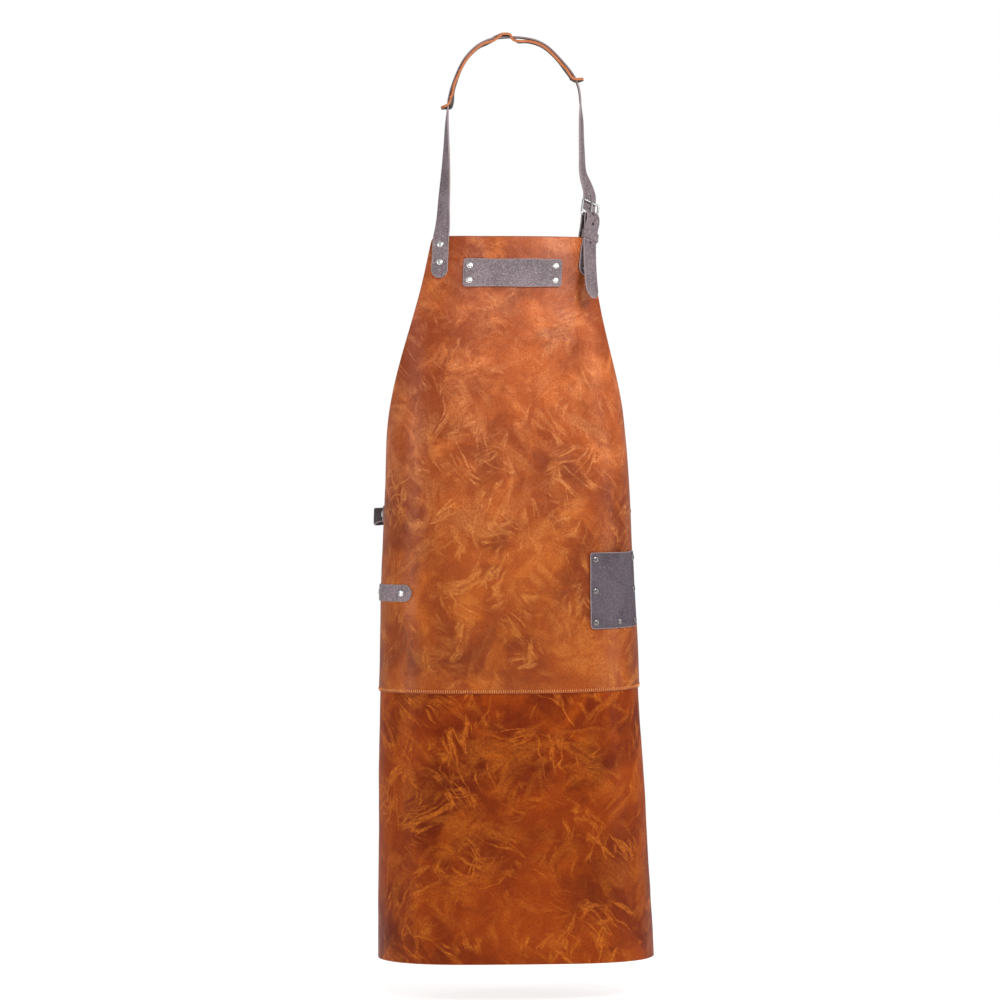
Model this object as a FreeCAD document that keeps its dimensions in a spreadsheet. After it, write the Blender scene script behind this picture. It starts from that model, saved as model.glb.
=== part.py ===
import FreeCAD, Part
import Sketcher
import math
import os
from FreeCAD import Placement, Rotation, Vector

# A leather welding apron, hung as it is worn: +X to the right seen from the front, +Y towards the
# wearer's back, +Z up. The origin is where the neck strap rests, at the top of its arch.

doc = FreeCAD.newDocument("welding_apron")

# ---------------------------------------------------------------- driving dimensions, millimetres

SIZES = {
    "panel_thickness": 2.2,        # body leather
    "strap_thickness": 2.8,        # strap leather
    "patch_thickness": 2.0,        # badge, pocket, loop and buckle leather
    "strap_width": 25.0,
    "top_height": -304.0,          # top edge of the bib
    "corner_height": -679.0,       # where the armhole cut reaches the side edge
    "seam_height": -979.0,         # lower edge of the upper panel
    "hem_height": -1379.0,
    "seam_overlap": 14.0,
    "bib_half_width": 130.0,       # flat half width at the top edge
    "hip_half_width": 300.0,       # flat half width from the armhole corner down
    "bib_shift": 9.0,              # how far the bib's cut sits to the right at the top edge
    "armhole_power": 1.89,         # how hollow the armhole cut is
    "badge_width": 145.0,
    "badge_height": 40.0,
    "pocket_left": 115.0,          # flat distance from the centre line
    "pocket_width": 100.0,
    "pocket_height": 112.0,
    "pocket_top": -774.0,
    "pocket_bow": 11.0,            # how far the pocket's mouth stands off the body
    "loop_tip": -154.0,
    "loop_height": -832.0,
    "pad_width": 40.0,
    "pad_thickness": 3.8,
    "cap_radius": 5.0,             # rivet cap
    "cap_rise": 2.0,
    "flange_radius": 4.2,          # rivet post's foot
    "flange_thickness": 0.9,
    "post_radius": 1.5,
    "post_bore": 1.05,
    "rivet_hole": 1.8,
    "buckle_reach": 25.0,          # heel bar to far bar, centre to centre
    "buckle_inside": 28.0,         # clear width between the side rails
    "bar_radius": 1.7,
    "prong_radius": 1.3,
    "keeper_height": 13.0,
    "keeper_wall": 1.5,
    "neck_keeper_low": 3.9,        # the keeper's inside, outward from the heel bar's centre
    "neck_keeper_high": 10.05,
    "waist_keeper_low": -5.5,
    "waist_keeper_high": 7.3,
    "strap_hole": 2.0,             # radius of the punched adjusting holes
    "waist_height": -715.0,
}

sheet = doc.addObject("Spreadsheet::Sheet", "Sizes")
for row, (alias, value) in enumerate(SIZES.items(), start=1):
    sheet.set(f"A{row}", alias)
    sheet.set(f"B{row}", str(value))
    sheet.setAlias(f"B{row}", alias)
doc.recompute()


def size(alias):
    return float(sheet.get(alias))


parts = []


def keep(label, shape):
    """A sub-part whose form is worked out in code, at rest on the apron."""
    feature = doc.addObject("Part::Feature", label)
    feature.Label = label
    feature.Shape = shape
    feature.Placement = Placement()
    parts.append(feature)
    return feature


# ---------------------------------------------------------------- how the leather hangs

PROFILE_STEP = 0.02
PROFILE_END = 1.6
FULL_TURN = 110.0                  # degrees the leather turns from the centre line to far round the side
TURN_RATE = 1.7
LEFT_TURNING = 202.0               # arc length, centre to where the leather faces sideways, at the top
TURNING_GAIN = 76.0                # how much longer that arc is at the hem
RIGHT_CORNER_CURL = 28.0           # the bib's right corner curls back more, under the buckle
LEAN_START = -500.0                # above this height the chest leans back
LEAN_BACK = 22.0
HEM_SWAY = 14.0
SWAY_START = -820.0
BIB_SWING = -9.8                   # the chest hangs a little to the left
SIDE_LIFT = 7.0
CORNER_EASE = 5.4                  # the bib's top corners are eased in
CORNER_REACH = 22.0


def turned(ratio):
    """Degrees the leather has turned at this share of its turning length."""
    return FULL_TURN * (1.0 - math.exp(-TURN_RATE * ratio ** 3))


def wrap_profile():
    """Running totals of sideways and backward travel along a wrap of unit turning length."""
    across, back, totals = 0.0, 0.0, [(0.0, 0.0)]
    for step in range(int(PROFILE_END / PROFILE_STEP)):
        angle = math.radians(turned((step + 0.5) * PROFILE_STEP))
        across += math.cos(angle) * PROFILE_STEP
        back += math.sin(angle) * PROFILE_STEP
        totals.append((across, back))
    return totals


WRAP = wrap_profile()


def wrapped(ratio):
    place = ratio / PROFILE_STEP
    step = min(int(place), len(WRAP) - 2)
    rest = place - step
    low, high = WRAP[step], WRAP[step + 1]
    return low[0] + (high[0] - low[0]) * rest, low[1] + (high[1] - low[1]) * rest


def drop_share(height):
    """0 at the bib's top edge, 1 at the hem."""
    return (size("top_height") - height) / (size("top_height") - size("hem_height"))


def turning_length(side, height):
    length = LEFT_TURNING + TURNING_GAIN * ((drop_share(height) + 0.02) / 1.02) ** 0.62
    if side > 0:
        length -= RIGHT_CORNER_CURL * math.exp(-(((height - size("top_height")) / 94.0) ** 2))
    return length


def hang(side, height, outward=0.0):
    """A point of the apron: side is the flat distance from the centre line, outward is off its face."""
    hand = 1.0 if side >= 0 else -1.0
    length = turning_length(side, height)
    ratio = abs(side) / length
    across, back = wrapped(ratio)
    angle = math.radians(turned(ratio))
    x = hand * (across * length + outward * math.sin(angle))
    y = back * length - outward * math.cos(angle)
    y += LEAN_BACK * (max(0.0, height - LEAN_START) / (size("top_height") - LEAN_START)) ** 2
    x += BIB_SWING * math.exp(-(((height + 440.0) / 144.0) ** 2))
    x += HEM_SWAY * (max(0.0, SWAY_START - height) / (SWAY_START - size("hem_height"))) ** 1.2
    lift = SIDE_LIFT * (max(0.0, side) / 250.0) ** 2 * math.exp(-(((height + 950.0) / 300.0) ** 2))
    return Vector(x, y, height + lift)


def facing(side, height):
    """Outward normal of the hanging leather."""
    along = hang(side + 1.0, height) - hang(side - 1.0, height)
    up = hang(side, height + 1.0) - hang(side, height - 1.0)
    return along.cross(up).normalize()


def edges_at(height):
    """Flat distances of the left and right cut edges from the centre line."""
    span = size("top_height") - size("corner_height")
    share = min(1.0, max(0.0, (size("top_height") - height) / span))
    half = size("bib_half_width")
    half += (size("hip_half_width") - half) * share ** size("armhole_power")
    half -= CORNER_EASE * math.exp((height - size("top_height")) / CORNER_REACH)
    shift = size("bib_shift") * (1.0 - share)
    return -half + shift, half + shift


def spaced(start, end, count):
    return [start + (end - start) * i / (count - 1) for i in range(count)]


# ---------------------------------------------------------------- building blocks

def skin(rows):
    surface = Part.BSplineSurface()
    surface.interpolate(rows)
    return surface


def rim(surface, which):
    """One border curve of a surface, as an edge."""
    u0, u1, v0, v1 = surface.bounds()
    curves = {
        "first_row": surface.uIso(u0),
        "last_row": surface.uIso(u1),
        "first_column": surface.vIso(v0),
        "last_column": surface.vIso(v1),
    }
    return curves[which].toShape()


def thick_sheet(front_rows, back_rows):
    """A closed solid between two grids of points."""
    front, back = skin(front_rows), skin(back_rows)
    faces = [front.toShape(), back.toShape()]
    for which in ("first_row", "last_row", "first_column", "last_column"):
        faces.append(Part.makeRuledSurface(rim(front, which), rim(back, which)))
    shell = Part.makeShell([face for shape in faces for face in shape.Faces])
    shell.sewShape()
    solid = Part.makeSolid(shell)
    if solid.Volume < 0:
        solid.reverse()
    return solid


def leather_on_body(heights, sides_at, columns, inner, outer):
    """Leather that follows the hanging body: sides_at gives its two edges at a height."""
    def rows(outward):
        grid = []
        for height in heights:
            left, right = sides_at(height)
            row = [hang(side, height, outward(side, height)) for side in spaced(left, right, columns)]
            grid.append(row)
        return grid
    return thick_sheet(rows(outer), rows(inner))


def constant(value):
    return lambda side, height: value


BAND_STEP = 7.0


class Route:
    """A smooth strap line through stations, each a point and the way the strap's face looks there."""

    def __init__(self, stations):
        self.points = [point for point, face in stations]
        self.faces = [face for point, face in stations]
        self.curve = Part.BSplineCurve()
        self.curve.interpolate(self.points)
        self.marks = [self.curve.parameter(point) for point in self.points]

    def frame(self, place):
        """Centre, outward normal and width direction at a place along the line."""
        step = max(i for i, mark in enumerate(self.marks[:-1]) if mark <= place + 1e-9)
        share = (place - self.marks[step]) / (self.marks[step + 1] - self.marks[step])
        face = self.faces[step] + (self.faces[step + 1] - self.faces[step]) * share
        tangent = Vector(*self.curve.tangent(place)[0]).normalize()
        normal = (face - tangent * face.dot(tangent)).normalize()
        return self.curve.value(place), normal, tangent.cross(normal)

    def frames(self):
        places = []
        for i, start in enumerate(self.marks[:-1]):
            count = max(1, math.ceil((self.points[i + 1] - self.points[i]).Length / BAND_STEP))
            places += [start + (self.marks[i + 1] - start) * j / count for j in range(count)]
        return [self.frame(place) for place in places + self.marks[-1:]]

    def spot(self, near, thickness):
        """The place on the strap's outer face nearest to a point, with its normal."""
        point, normal, across = self.frame(self.curve.parameter(near))
        return point + normal * (thickness / 2), normal


def band(route, width, thickness):
    """A strap of rectangular section along a route."""
    wires = []
    for point, normal, across in route.frames():
        corners = []
        for a, b in ((-1, -1), (1, -1), (1, 1), (-1, 1)):
            corners.append(point + across * (a * width / 2) + normal * (b * thickness / 2))
        wires.append(Part.makePolygon(corners + corners[:1]))
    solid = Part.makeLoft(wires, True, True)
    if solid.Volume < 0:
        solid.reverse()
    return solid


def peg(point, axis, radius, reach):
    """A cylinder through a point, reaching both ways along an axis: a punch for a hole."""
    return Part.makeCylinder(radius, 2 * reach, point - axis * reach, axis)


def punched(shape, places, radius, reach):
    for point, axis in places:
        shape = shape.cut(peg(point, axis, radius, reach))
    return shape


# ---------------------------------------------------------------- rivets

CAP_RIM = 0.5                      # upright edge of the domed cap
CAP_STEM = 2.4


def rivet_cap():
    """Domed cap on its stem; its underside is at height 0 and the stem points down."""
    radius, rise = size("cap_radius"), size("cap_rise")
    dome = rise - CAP_RIM
    ball_radius = (radius ** 2 + dome ** 2) / (2 * dome)
    disc = Part.makeCylinder(radius, rise + 1.0)
    ball = Part.makeSphere(ball_radius, Vector(0, 0, rise - ball_radius))
    stem = Part.makeCylinder(size("post_bore") - 0.05, CAP_STEM + 0.3, Vector(0, 0, -CAP_STEM))
    return disc.common(ball).fuse(stem).removeSplitter()


def rivet_post(grip):
    """Flanged hollow post for leather of this thickness, in the cap's own frame."""
    tube = Part.makeCylinder(size("post_radius"), grip, Vector(0, 0, -grip))
    bore = Part.makeCylinder(size("post_bore"), 2.6, Vector(0, 0, -2.6))
    flange = size("flange_thickness")
    foot = Part.makeCylinder(size("flange_radius"), flange, Vector(0, 0, -grip - flange))
    return tube.fuse(foot).cut(bore).removeSplitter()


def rivet_group(name, spots, grip):
    """A row of like rivets, one node of caps and one of posts; a spot is a surface point and normal."""
    gap = 0.2
    caps, posts = [], []
    for point, normal in spots:
        place = Placement(point + normal * gap, Rotation(Vector(0, 0, 1), normal))
        for shape, group in ((rivet_cap(), caps), (rivet_post(grip + 3 * gap), posts)):
            shape.Placement = place
            group.append(shape)
    keep(f"{name}_rivet_caps", Part.makeCompound(caps))
    keep(f"{name}_rivet_posts", Part.makeCompound(posts))


def on_body(side, height, outward):
    return hang(side, height, outward), facing(side, height)


# ---------------------------------------------------------------- buckles

class Buckle:
    """The frame of a buckle's heel bar: across it, along its strap to the anchor, and outward."""

    def __init__(self, name, heel, along, outward):
        self.name = name
        self.heel = heel
        self.along = along.normalize()
        self.outward = (outward - self.along * outward.dot(self.along)).normalize()
        self.across = self.along.cross(self.outward)

    def at(self, along, outward, across=0.0):
        return self.heel + self.along * along + self.outward * outward + self.across * across

    def station(self, along, outward):
        return self.at(along, outward), self.outward

    def placement(self):
        rotation = Rotation(self.across, self.along, self.outward, "ZXY")
        return Placement(self.heel, rotation)


def rectangle(sketch, name, width_cell, height_cell):
    """A rectangle centred on the sketch's origin, its sizes bound to the sheet."""
    base = sketch.GeometryCount
    half = 9.0 + base
    signs = ((-1, -1), (1, -1), (1, 1), (-1, 1))
    corners = [Vector(a * half, b * half, 0) for a, b in signs]
    for i in range(4):
        sketch.addGeometry(Part.LineSegment(corners[i], corners[(i + 1) % 4]), False)
    for i in range(4):
        sketch.addConstraint(Sketcher.Constraint("Coincident", base + i, 2, base + (i + 1) % 4, 1))
    for i in (0, 2):
        sketch.addConstraint(Sketcher.Constraint("Horizontal", base + i))
    for i in (1, 3):
        sketch.addConstraint(Sketcher.Constraint("Vertical", base + i))
    sketch.addConstraint(Sketcher.Constraint("Symmetric", base, 1, base + 1, 2, -1, 1))
    for side, cell in (("width", width_cell), ("height", height_cell)):
        line = base if side == "width" else base + 1
        number = sketch.addConstraint(Sketcher.Constraint("Distance", line, 2 * half))
        sketch.renameConstraint(number, f"{name}_{side}")
        sketch.setExpression(f"Constraints.{name}_{side}", cell)


def origin_plane(body, role):
    return next(feature for feature in body.Origin.OriginFeatures if feature.Role == role)


def ring_body(label, outer, inner, thick_cell, plane, roundings, place):
    """A rectangular ring: the space between two rectangles padded, its edges rounded."""
    body = doc.addObject("PartDesign::Body", label)
    body.Label = label
    sketch = body.newObject("Sketcher::SketchObject", f"{label}_outline")
    sketch.AttachmentSupport = [(origin_plane(body, plane), "")]
    sketch.MapMode = "FlatFace"
    rectangle(sketch, "outer", *outer)
    rectangle(sketch, "inner", *inner)
    pad = body.newObject("PartDesign::Pad", f"{label}_pad")
    pad.Profile = sketch
    pad.Midplane = True
    pad.setExpression("Length", thick_cell)
    doc.recompute()
    feature = pad
    for number, (pick, cell) in enumerate(roundings):
        names = [f"Edge{i + 1}" for i, edge in enumerate(feature.Shape.Edges) if pick(edge)]
        fillet = body.newObject("PartDesign::Fillet", f"{label}_round{number}")
        fillet.Base = (feature, names)
        fillet.setExpression("Radius", cell)
        doc.recompute()
        feature = fillet
    body.Tip = feature
    body.Placement = place
    parts.append(body)
    return body


def runs_along(axis):
    def pick(edge):
        if edge.Curve.TypeId != "Part::GeomLine":
            return False
        return abs(edge.Curve.Direction.dot(axis)) > 0.99
    return pick


def buckle_frame(buckle):
    """Cast ring frame; its heel bar lies on the hinge axis."""
    bar = "Sizes.bar_radius"
    outer = (f"Sizes.buckle_inside + 4 * {bar}", f"Sizes.buckle_reach + 2 * {bar}")
    inner = ("Sizes.buckle_inside", f"Sizes.buckle_reach - 2 * {bar}")
    place = Placement(buckle.at(-size("buckle_reach") / 2, 0.0), buckle.placement().Rotation)
    roundings = (
        (runs_along(Vector(0, 0, 1)), f"{bar} * 1.15"),
        (lambda edge: True, f"{bar} * 0.9"),
    )
    return ring_body(f"{buckle.name}_buckle_frame", outer, inner, f"2 * {bar}", "XY_Plane", roundings, place)


def buckle_prong(buckle):
    """Tongue with an eye round the heel bar; its tip rests on the far bar."""
    label = f"{buckle.name}_buckle_prong"
    eye = doc.addObject("Part::Cylinder", f"{label}_eye")
    eye.setExpression("Radius", "Sizes.bar_radius + 1.85")
    eye.setExpression("Height", "2.4 * Sizes.prong_radius")
    bore = doc.addObject("Part::Cylinder", f"{label}_bore")
    bore.setExpression("Radius", "Sizes.bar_radius + 0.25")
    bore.Height = 20.0
    tongue = doc.addObject("Part::Cone", f"{label}_tongue")
    tongue.setExpression("Radius1", "Sizes.prong_radius * 1.1")
    tongue.setExpression("Radius2", "Sizes.prong_radius * 0.85")
    tongue.setExpression("Height", "Sizes.buckle_reach + 3.4")
    rest = size("bar_radius") + size("prong_radius") + 0.1
    eye.Placement = Placement(Vector(-1.2 * size("prong_radius"), 0, 0), Rotation(Vector(0, 1, 0), 90))
    bore.Placement = Placement(Vector(-10, 0, 0), Rotation(Vector(0, 1, 0), 90))
    tongue.Placement = Placement(Vector(0, 0, rest), Rotation(Vector(1, 0, 0), 90))
    joined = doc.addObject("Part::Fuse", f"{label}_joined")
    joined.Base = eye
    joined.Tool = tongue
    prong = doc.addObject("Part::Cut", label)
    prong.Base = joined
    prong.Tool = bore
    prong.Label = label
    prong.Placement = buckle.placement()
    parts.append(prong)
    return prong


def keeper(buckle, along):
    """Leather band that holds the strap's free end; it slides along the strap."""
    label = f"{buckle.name}_keeper"
    low, high = size(f"{label}_low"), size(f"{label}_high")
    clear = f"Sizes.{label}_high - Sizes.{label}_low"
    wall = "Sizes.keeper_wall"
    outer = (f"Sizes.strap_width + 1.2 + 2 * {wall}", f"{clear} + 2 * {wall}")
    inner = ("Sizes.strap_width + 1.2", clear)
    place = Placement(buckle.at(along, (low + high) / 2), buckle.placement().Rotation)
    roundings = ((runs_along(Vector(0, 1, 0)), f"{wall} * 0.8"),)
    return ring_body(label, outer, inner, "Sizes.keeper_height", "XZ_Plane", roundings, place)


FOLD_RADIUS = 3.7                  # centre of the folded buckle leather, from the heel bar's centre
FOLD_LEATHER = 2.4                 # thickness of the buckle straps
LEG_OUT = 4.3                      # centre of each riveted leg, from the heel bar's centre
LEG_END = 96.0


def fold_round_heel(buckle, steps=6):
    """Stations of the half turn round the heel bar, from the inner leg to the outer one."""
    stations = []
    for i in range(steps + 1):
        angle = math.pi * i / steps
        way = buckle.outward * -math.cos(angle) + buckle.along * -math.sin(angle)
        stations.append((buckle.heel + way * FOLD_RADIUS, way * 1.0))
    return stations


def outward_station(buckle, along, outward, facing_in=False):
    face = buckle.outward * (-1.0 if facing_in else 1.0)
    return buckle.at(along, outward), face


def prong_slot(buckle, start, end, half):
    """A box across the strap that leaves room for the tongue."""
    corner = Vector(-half, start, -12)
    box = Part.makeBox(2 * half, end - start, 24, corner)
    box.Placement = buckle.placement()
    return box


# ---------------------------------------------------------------- body panels

def build_bib():
    heights = spaced(size("seam_height"), size("top_height"), 22)
    thickness = size("panel_thickness")
    return leather_on_body(heights, edges_at, 25, constant(-thickness), constant(0.0))


def build_skirt():
    heights = spaced(size("hem_height"), size("seam_height") + size("seam_overlap"), 12)
    thickness = size("panel_thickness")
    outer = -(thickness + 0.15)
    return leather_on_body(heights, edges_at, 25, constant(outer - thickness), constant(outer))


def build_seam_thread():
    rise, half_tall, run_in = 2.8, 1.9, 4.0
    middle = size("seam_height") + rise
    heights = [middle - half_tall, middle, middle + half_tall]

    def sides(height):
        left, right = edges_at(height)
        return left + run_in, right - run_in
    return leather_on_body(heights, sides, 25, constant(0.2), constant(0.6))


# ---------------------------------------------------------------- pieces riveted to the body

PATCH_GAP = 0.4                    # behind the badge and the pocket
BADGE_MIDDLE = (6.0, -358.0)       # flat place of the badge's centre
BADGE_RIVET_INSET = (8.6, 9.0)


def build_badge():
    left = BADGE_MIDDLE[0] - size("badge_width") / 2
    low = BADGE_MIDDLE[1] - size("badge_height") / 2
    heights = spaced(low, low + size("badge_height"), 4)
    thickness = size("patch_thickness")
    return leather_on_body(
        heights, lambda height: (left, left + size("badge_width")), 7,
        constant(PATCH_GAP), constant(PATCH_GAP + thickness),
    )


def badge_spots():
    across = size("badge_width") / 2 - BADGE_RIVET_INSET[0]
    up = size("badge_height") / 2 - BADGE_RIVET_INSET[1]
    return [
        (BADGE_MIDDLE[0] + a * across, BADGE_MIDDLE[1] + b * up) for a in (-1, 1) for b in (-1, 1)
    ]


POCKET_INSET = 7.5


def pocket_lift(side, height):
    """How far the pocket stands off the body: nothing at its riveted rim, most at its mouth."""
    half = size("pocket_width") / 2
    across = min(1.0, abs(side - size("pocket_left") - half) / (half - 1.8 * POCKET_INSET))
    low = size("pocket_top") - size("pocket_height") + 2.2 * POCKET_INSET
    up = max(0.0, height - low) / (size("pocket_top") - low)
    return size("pocket_bow") * (1 - across ** 2) ** 2 * up ** 2 * (3 - 2 * up)


def build_pocket():
    heights = spaced(size("pocket_top") - size("pocket_height"), size("pocket_top"), 13)
    thickness = size("patch_thickness")
    left = size("pocket_left")
    return leather_on_body(
        heights,
        lambda height: (left, left + size("pocket_width")),
        21,
        lambda side, height: PATCH_GAP + pocket_lift(side, height),
        lambda side, height: PATCH_GAP + thickness + pocket_lift(side, height),
    )


def pocket_spots():
    left = size("pocket_left") + POCKET_INSET
    right = size("pocket_left") + size("pocket_width") - POCKET_INSET
    top = size("pocket_top") - POCKET_INSET - 1.5
    low = size("pocket_top") - size("pocket_height") + POCKET_INSET + 1.5
    middle = (top + low) / 2
    rim = [(side, height) for side in (left, right) for height in (low, middle, top)]
    return rim + [((left + right) / 2, low)]


LOOP_OUT = 1.35                    # centre of the loop's leather, off the body's face
LOOP_EYE = ((4, 3.0), (14, 6.0), (24, 6.2), (30.5, 3.0))
LOOP_RIVETS = (-172.0, -278.0)


def tool_loop_route():
    """A strap end riveted to the front that closes in an eye beyond the side edge and grips it."""
    height = size("loop_height")
    edge = edges_at(height)[0]
    inner = -size("panel_thickness") - LOOP_OUT - 0.1
    stations = [on_body(side, height, LOOP_OUT) for side in spaced(size("loop_tip"), edge + 8, 11)]
    root, normal = hang(edge, height), facing(edge, height)
    beyond = (hang(edge, height) - hang(edge + 1, height)).normalize()
    middle = -size("panel_thickness") / 2
    for out, rise in LOOP_EYE:
        stations.append((root + beyond * out + normal * rise, normal))
    stations.append((root + beyond * 33.0 + normal * middle, beyond))
    for out, rise in reversed(LOOP_EYE):
        stations.append((root + beyond * out + normal * (2 * middle - rise), normal * -1.0))
    for side in (edge + 8, edge + 18, edge + 30):
        point, face = on_body(side, height, inner)
        stations.append((point, face * -1.0))
    return Route(stations)


# ---------------------------------------------------------------- neck: buckle, strap and pad

BUCKLE_SIDES = (115.0, 124.5)      # flat places of the buckle strap on the bib, low and high
BUCKLE_RISE = 37.0                 # heel bar above the bib's top edge
MID_OFFSET = 0.95                  # the bib's middle lies this far outside the heel bar's centre


def neck_buckle():
    top = size("top_height")
    half = size("panel_thickness") / 2
    low_side, high_side = BUCKLE_SIDES
    low = hang(low_side, top - 58, -half)
    high = hang(high_side, top - 4, -half)
    along = (low - high).normalize()
    middle_side = (low_side + high_side) / 2
    outward = facing(middle_side, top - 31)
    outward = (outward - along * outward.dot(along)).normalize()
    middle = hang(middle_side, top - 31, -half)
    heel = middle - along * (BUCKLE_RISE + 31) - outward * MID_OFFSET
    return Buckle("neck", heel, along, outward)


BUCKLE_RIVETS = (67.0, 85.0)       # along the buckle strap from the heel bar


def buckle_strap_route(buckle):
    """Folded round the heel bar; its two legs hold the bib's corner between them."""
    stations = [outward_station(buckle, along, -LEG_OUT, True) for along in (LEG_END, 60, 30)]
    stations.append(outward_station(buckle, 8, -FOLD_RADIUS, True))
    stations += fold_round_heel(buckle)
    legs = (
        (7, 3.9), (12, 4.8), (17, 5.4), (30, 5.4), (46, 5.4), (52, 4.9), (58, 4.4),
        (70, LEG_OUT), (LEG_END, LEG_OUT),
    )
    return Route(stations + [outward_station(buckle, along, out) for along, out in legs])


def build_buckle_strap(buckle, route):
    return band(route, size("strap_width"), FOLD_LEATHER).cut(prong_slot(buckle, -8.0, 7.0, 2.6))


ARCH = (
    # place x, y, z of the neck strap's centre, from the bib's left corner over the neck
    (-104.0, 31, -293), (-101.3, 42, -263), (-99.1, 48, -233), (-96.7, 56, -195), (-95.1, 66, -157),
    (-93.7, 74, -124), (-91.1, 80, -101), (-87.2, 84, -82.5), (-82.2, 88, -67), (-75.3, 92, -49.5),
    (-66.9, 95, -34.4), (-56.9, 98, -22.1), (-45.3, 100, -12.2), (-32.5, 102, -5.4), (-19.5, 104, -1.6),
    (-5.9, 105, 0.0), (8.4, 105, 0.5), (25.7, 104, -0.9), (42.1, 102, -4.6), (58.9, 100, -13.4),
    (75.6, 96, -29.8), (88.5, 92, -45.6), (99.1, 90, -61), (105.4, 90, -78), (107.7, 89, -97),
    (108.6, 87, -124), (108.9, 84, -157), (109.4, 81, -185), (111.2, 78.5, -208),
)
# How far each side's face has turned from the front towards sideways, in degrees, by height.
LEFT_TWIST = ((-304, 25), (-263, 48), (-233, 56), (-195, 68), (-157, 80), (-124, 88))
RIGHT_TWIST = ((-240, 50), (-208, 61), (-188, 66), (-157, 70), (-124, 73))
ARCH_CENTRE = Vector(6.0, 0, -110.0)


def between(table, height):
    rows = sorted(table)
    for (low, a), (high, b) in zip(rows, rows[1:]):
        if height <= high:
            return a + (b - a) * max(0.0, (height - low) / (high - low))
    return rows[-1][1]


def away_from_neck(x, z):
    """The way a strap lying round the neck faces, tipped a little to the front on the shoulders' slope."""
    away = Vector(x - ARCH_CENTRE.x, 0, z - ARCH_CENTRE.z).normalize()
    return Vector(away.x, -0.055 * away.x - 0.07 * away.z, away.z).normalize()


def arch_station(x, y, z):
    if z > -110:
        return Vector(x, y, z), away_from_neck(x, z)
    hand = 1.0 if x > 0 else -1.0
    angle = math.radians(between(RIGHT_TWIST if x > 0 else LEFT_TWIST, z))
    return Vector(x, y, z), Vector(hand * math.sin(angle), -math.cos(angle), 0)


STRAP_SIDE = -102.0                # flat place of the strap's riveted end on the bib
STRAP_END = -366.0
STRAP_GAP = 0.8                    # behind the flat strap end on the curved bib
STRAP_RIVETS = (-317.0, -343.0)
THROUGH_BUCKLE = (
    # along the buckle strap and outward: behind the far bar, up through the frame, over the heel bar
    (-37, -4.7), (-27, -3.9), (-18.5, -3.8), (-14, -2.9), (-9.5, 1.2), (-6, 5.2), (-1, 8.2),
    (5, 9.9), (11, 10.1), (17, 8.9), (23, 8.35), (34, 8.35), (46, 8.4), (56, 9.8), (66, 11.5), (80, 14.2),
    (96, 17.8), (112, 21.8), (127, 26.0), (140, 30.0),
)
STRAP_HOLES = (-150.0, -178.0, -208.0, -236.0)
FREE_END_HOLE = 50.0


def neck_strap_route(buckle):
    outward = STRAP_GAP + size("strap_thickness") / 2
    stations = [on_body(STRAP_SIDE, height, outward) for height in (STRAP_END, -347.0, -328.0, -309.0)]
    stations += [arch_station(*place) for place in ARCH]
    stations += [buckle.station(along, out) for along, out in THROUGH_BUCKLE]
    return Route(stations)


def build_neck_strap(buckle, route):
    strap = band(route, size("strap_width"), size("strap_thickness"))
    strap = strap.cut(prong_slot(buckle, -16.5, -0.5, 2.4))
    right_side = [frame for frame in route.frames() if frame[0].x > 0]
    places = []
    for height in STRAP_HOLES:
        point, normal, across = min(right_side, key=lambda frame: abs(frame[0].z - height))
        places.append((point, normal))
    places.append((buckle.at(FREE_END_HOLE, 8.35), buckle.outward))
    return punched(strap, places, size("strap_hole"), 5.0)


PAD = (
    # place x, y, z of the neck pad's centre, from its left tab to its right one
    (-102.7, 78, -109.3), (-95.6, 78, -107), (-87.6, 80, -100.6), (-82.9, 84, -81.9),
    (-77.7, 88, -66.2), (-71.5, 92, -50.7), (-62.3, 95, -34.8), (-50.7, 98, -21.6),
    (-36.9, 100, -11.9), (-26.2, 102, -7.6), (-18, 104, 0), (-13, 105, 3.6), (-6, 105, 4.7),
    (0.5, 105, 4.2), (7.5, 105, -1.6), (13.5, 104, -5.6), (25.9, 103, -6), (38.2, 102, -7.8),
    (51, 100, -13.1), (64.8, 98, -24), (76.8, 95, -37.6), (85.4, 92, -49.1), (89.2, 90, -54),
    (94.8, 88, -62.4), (101.6, 88, -64.9), (112, 88, -63.6),
)


TAB_FACES = ((0, (-0.3, 0, 1)), (1, (-0.5, 0, 0.9)), (-2, (0.3, 0, 1)), (-1, (0, 0, 1)))


def build_neck_pad():
    """Slotted leather strip threaded on the strap: over it at the middle and at both tabs."""
    stations = [(Vector(x, y, z), away_from_neck(x, z)) for x, y, z in PAD]
    for i, face in TAB_FACES:
        stations[i] = (stations[i][0], Vector(*face).normalize())
    pad = band(Route(stations), size("pad_width"), size("pad_thickness"))
    near_arch = Route([arch_station(*place) for place in ARCH[3:]])
    room = band(near_arch, size("strap_width") + 2.4, size("strap_thickness") + 1.2)
    return pad.cut(room)


# ---------------------------------------------------------------- waist strap, round the wearer's back

RING = {"middle": Vector(-6.0, 165.0, 0), "half_width": 191.0, "half_depth": 100.0}
WAIST_BUCKLE_ANGLE = 108.0


def ring_at(degrees, outward=0.0, drop=0.0):
    """A place on the strap's oval round the waist, from the right side round the back, and its normal."""
    angle = math.radians(degrees)
    wide, deep = RING["half_width"], RING["half_depth"]
    normal = Vector(math.cos(angle) / wide, math.sin(angle) / deep, 0).normalize()
    height = size("waist_height") - drop
    point = RING["middle"] + Vector(wide * math.cos(angle), deep * math.sin(angle), height)
    return point + normal * outward, normal


def waist_buckle():
    point, normal = ring_at(WAIST_BUCKLE_ANGLE)
    angle = math.radians(WAIST_BUCKLE_ANGLE)
    along = Vector(-RING["half_width"] * math.sin(angle), RING["half_depth"] * math.cos(angle), 0)
    return Buckle("waist", point, along, normal)


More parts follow.
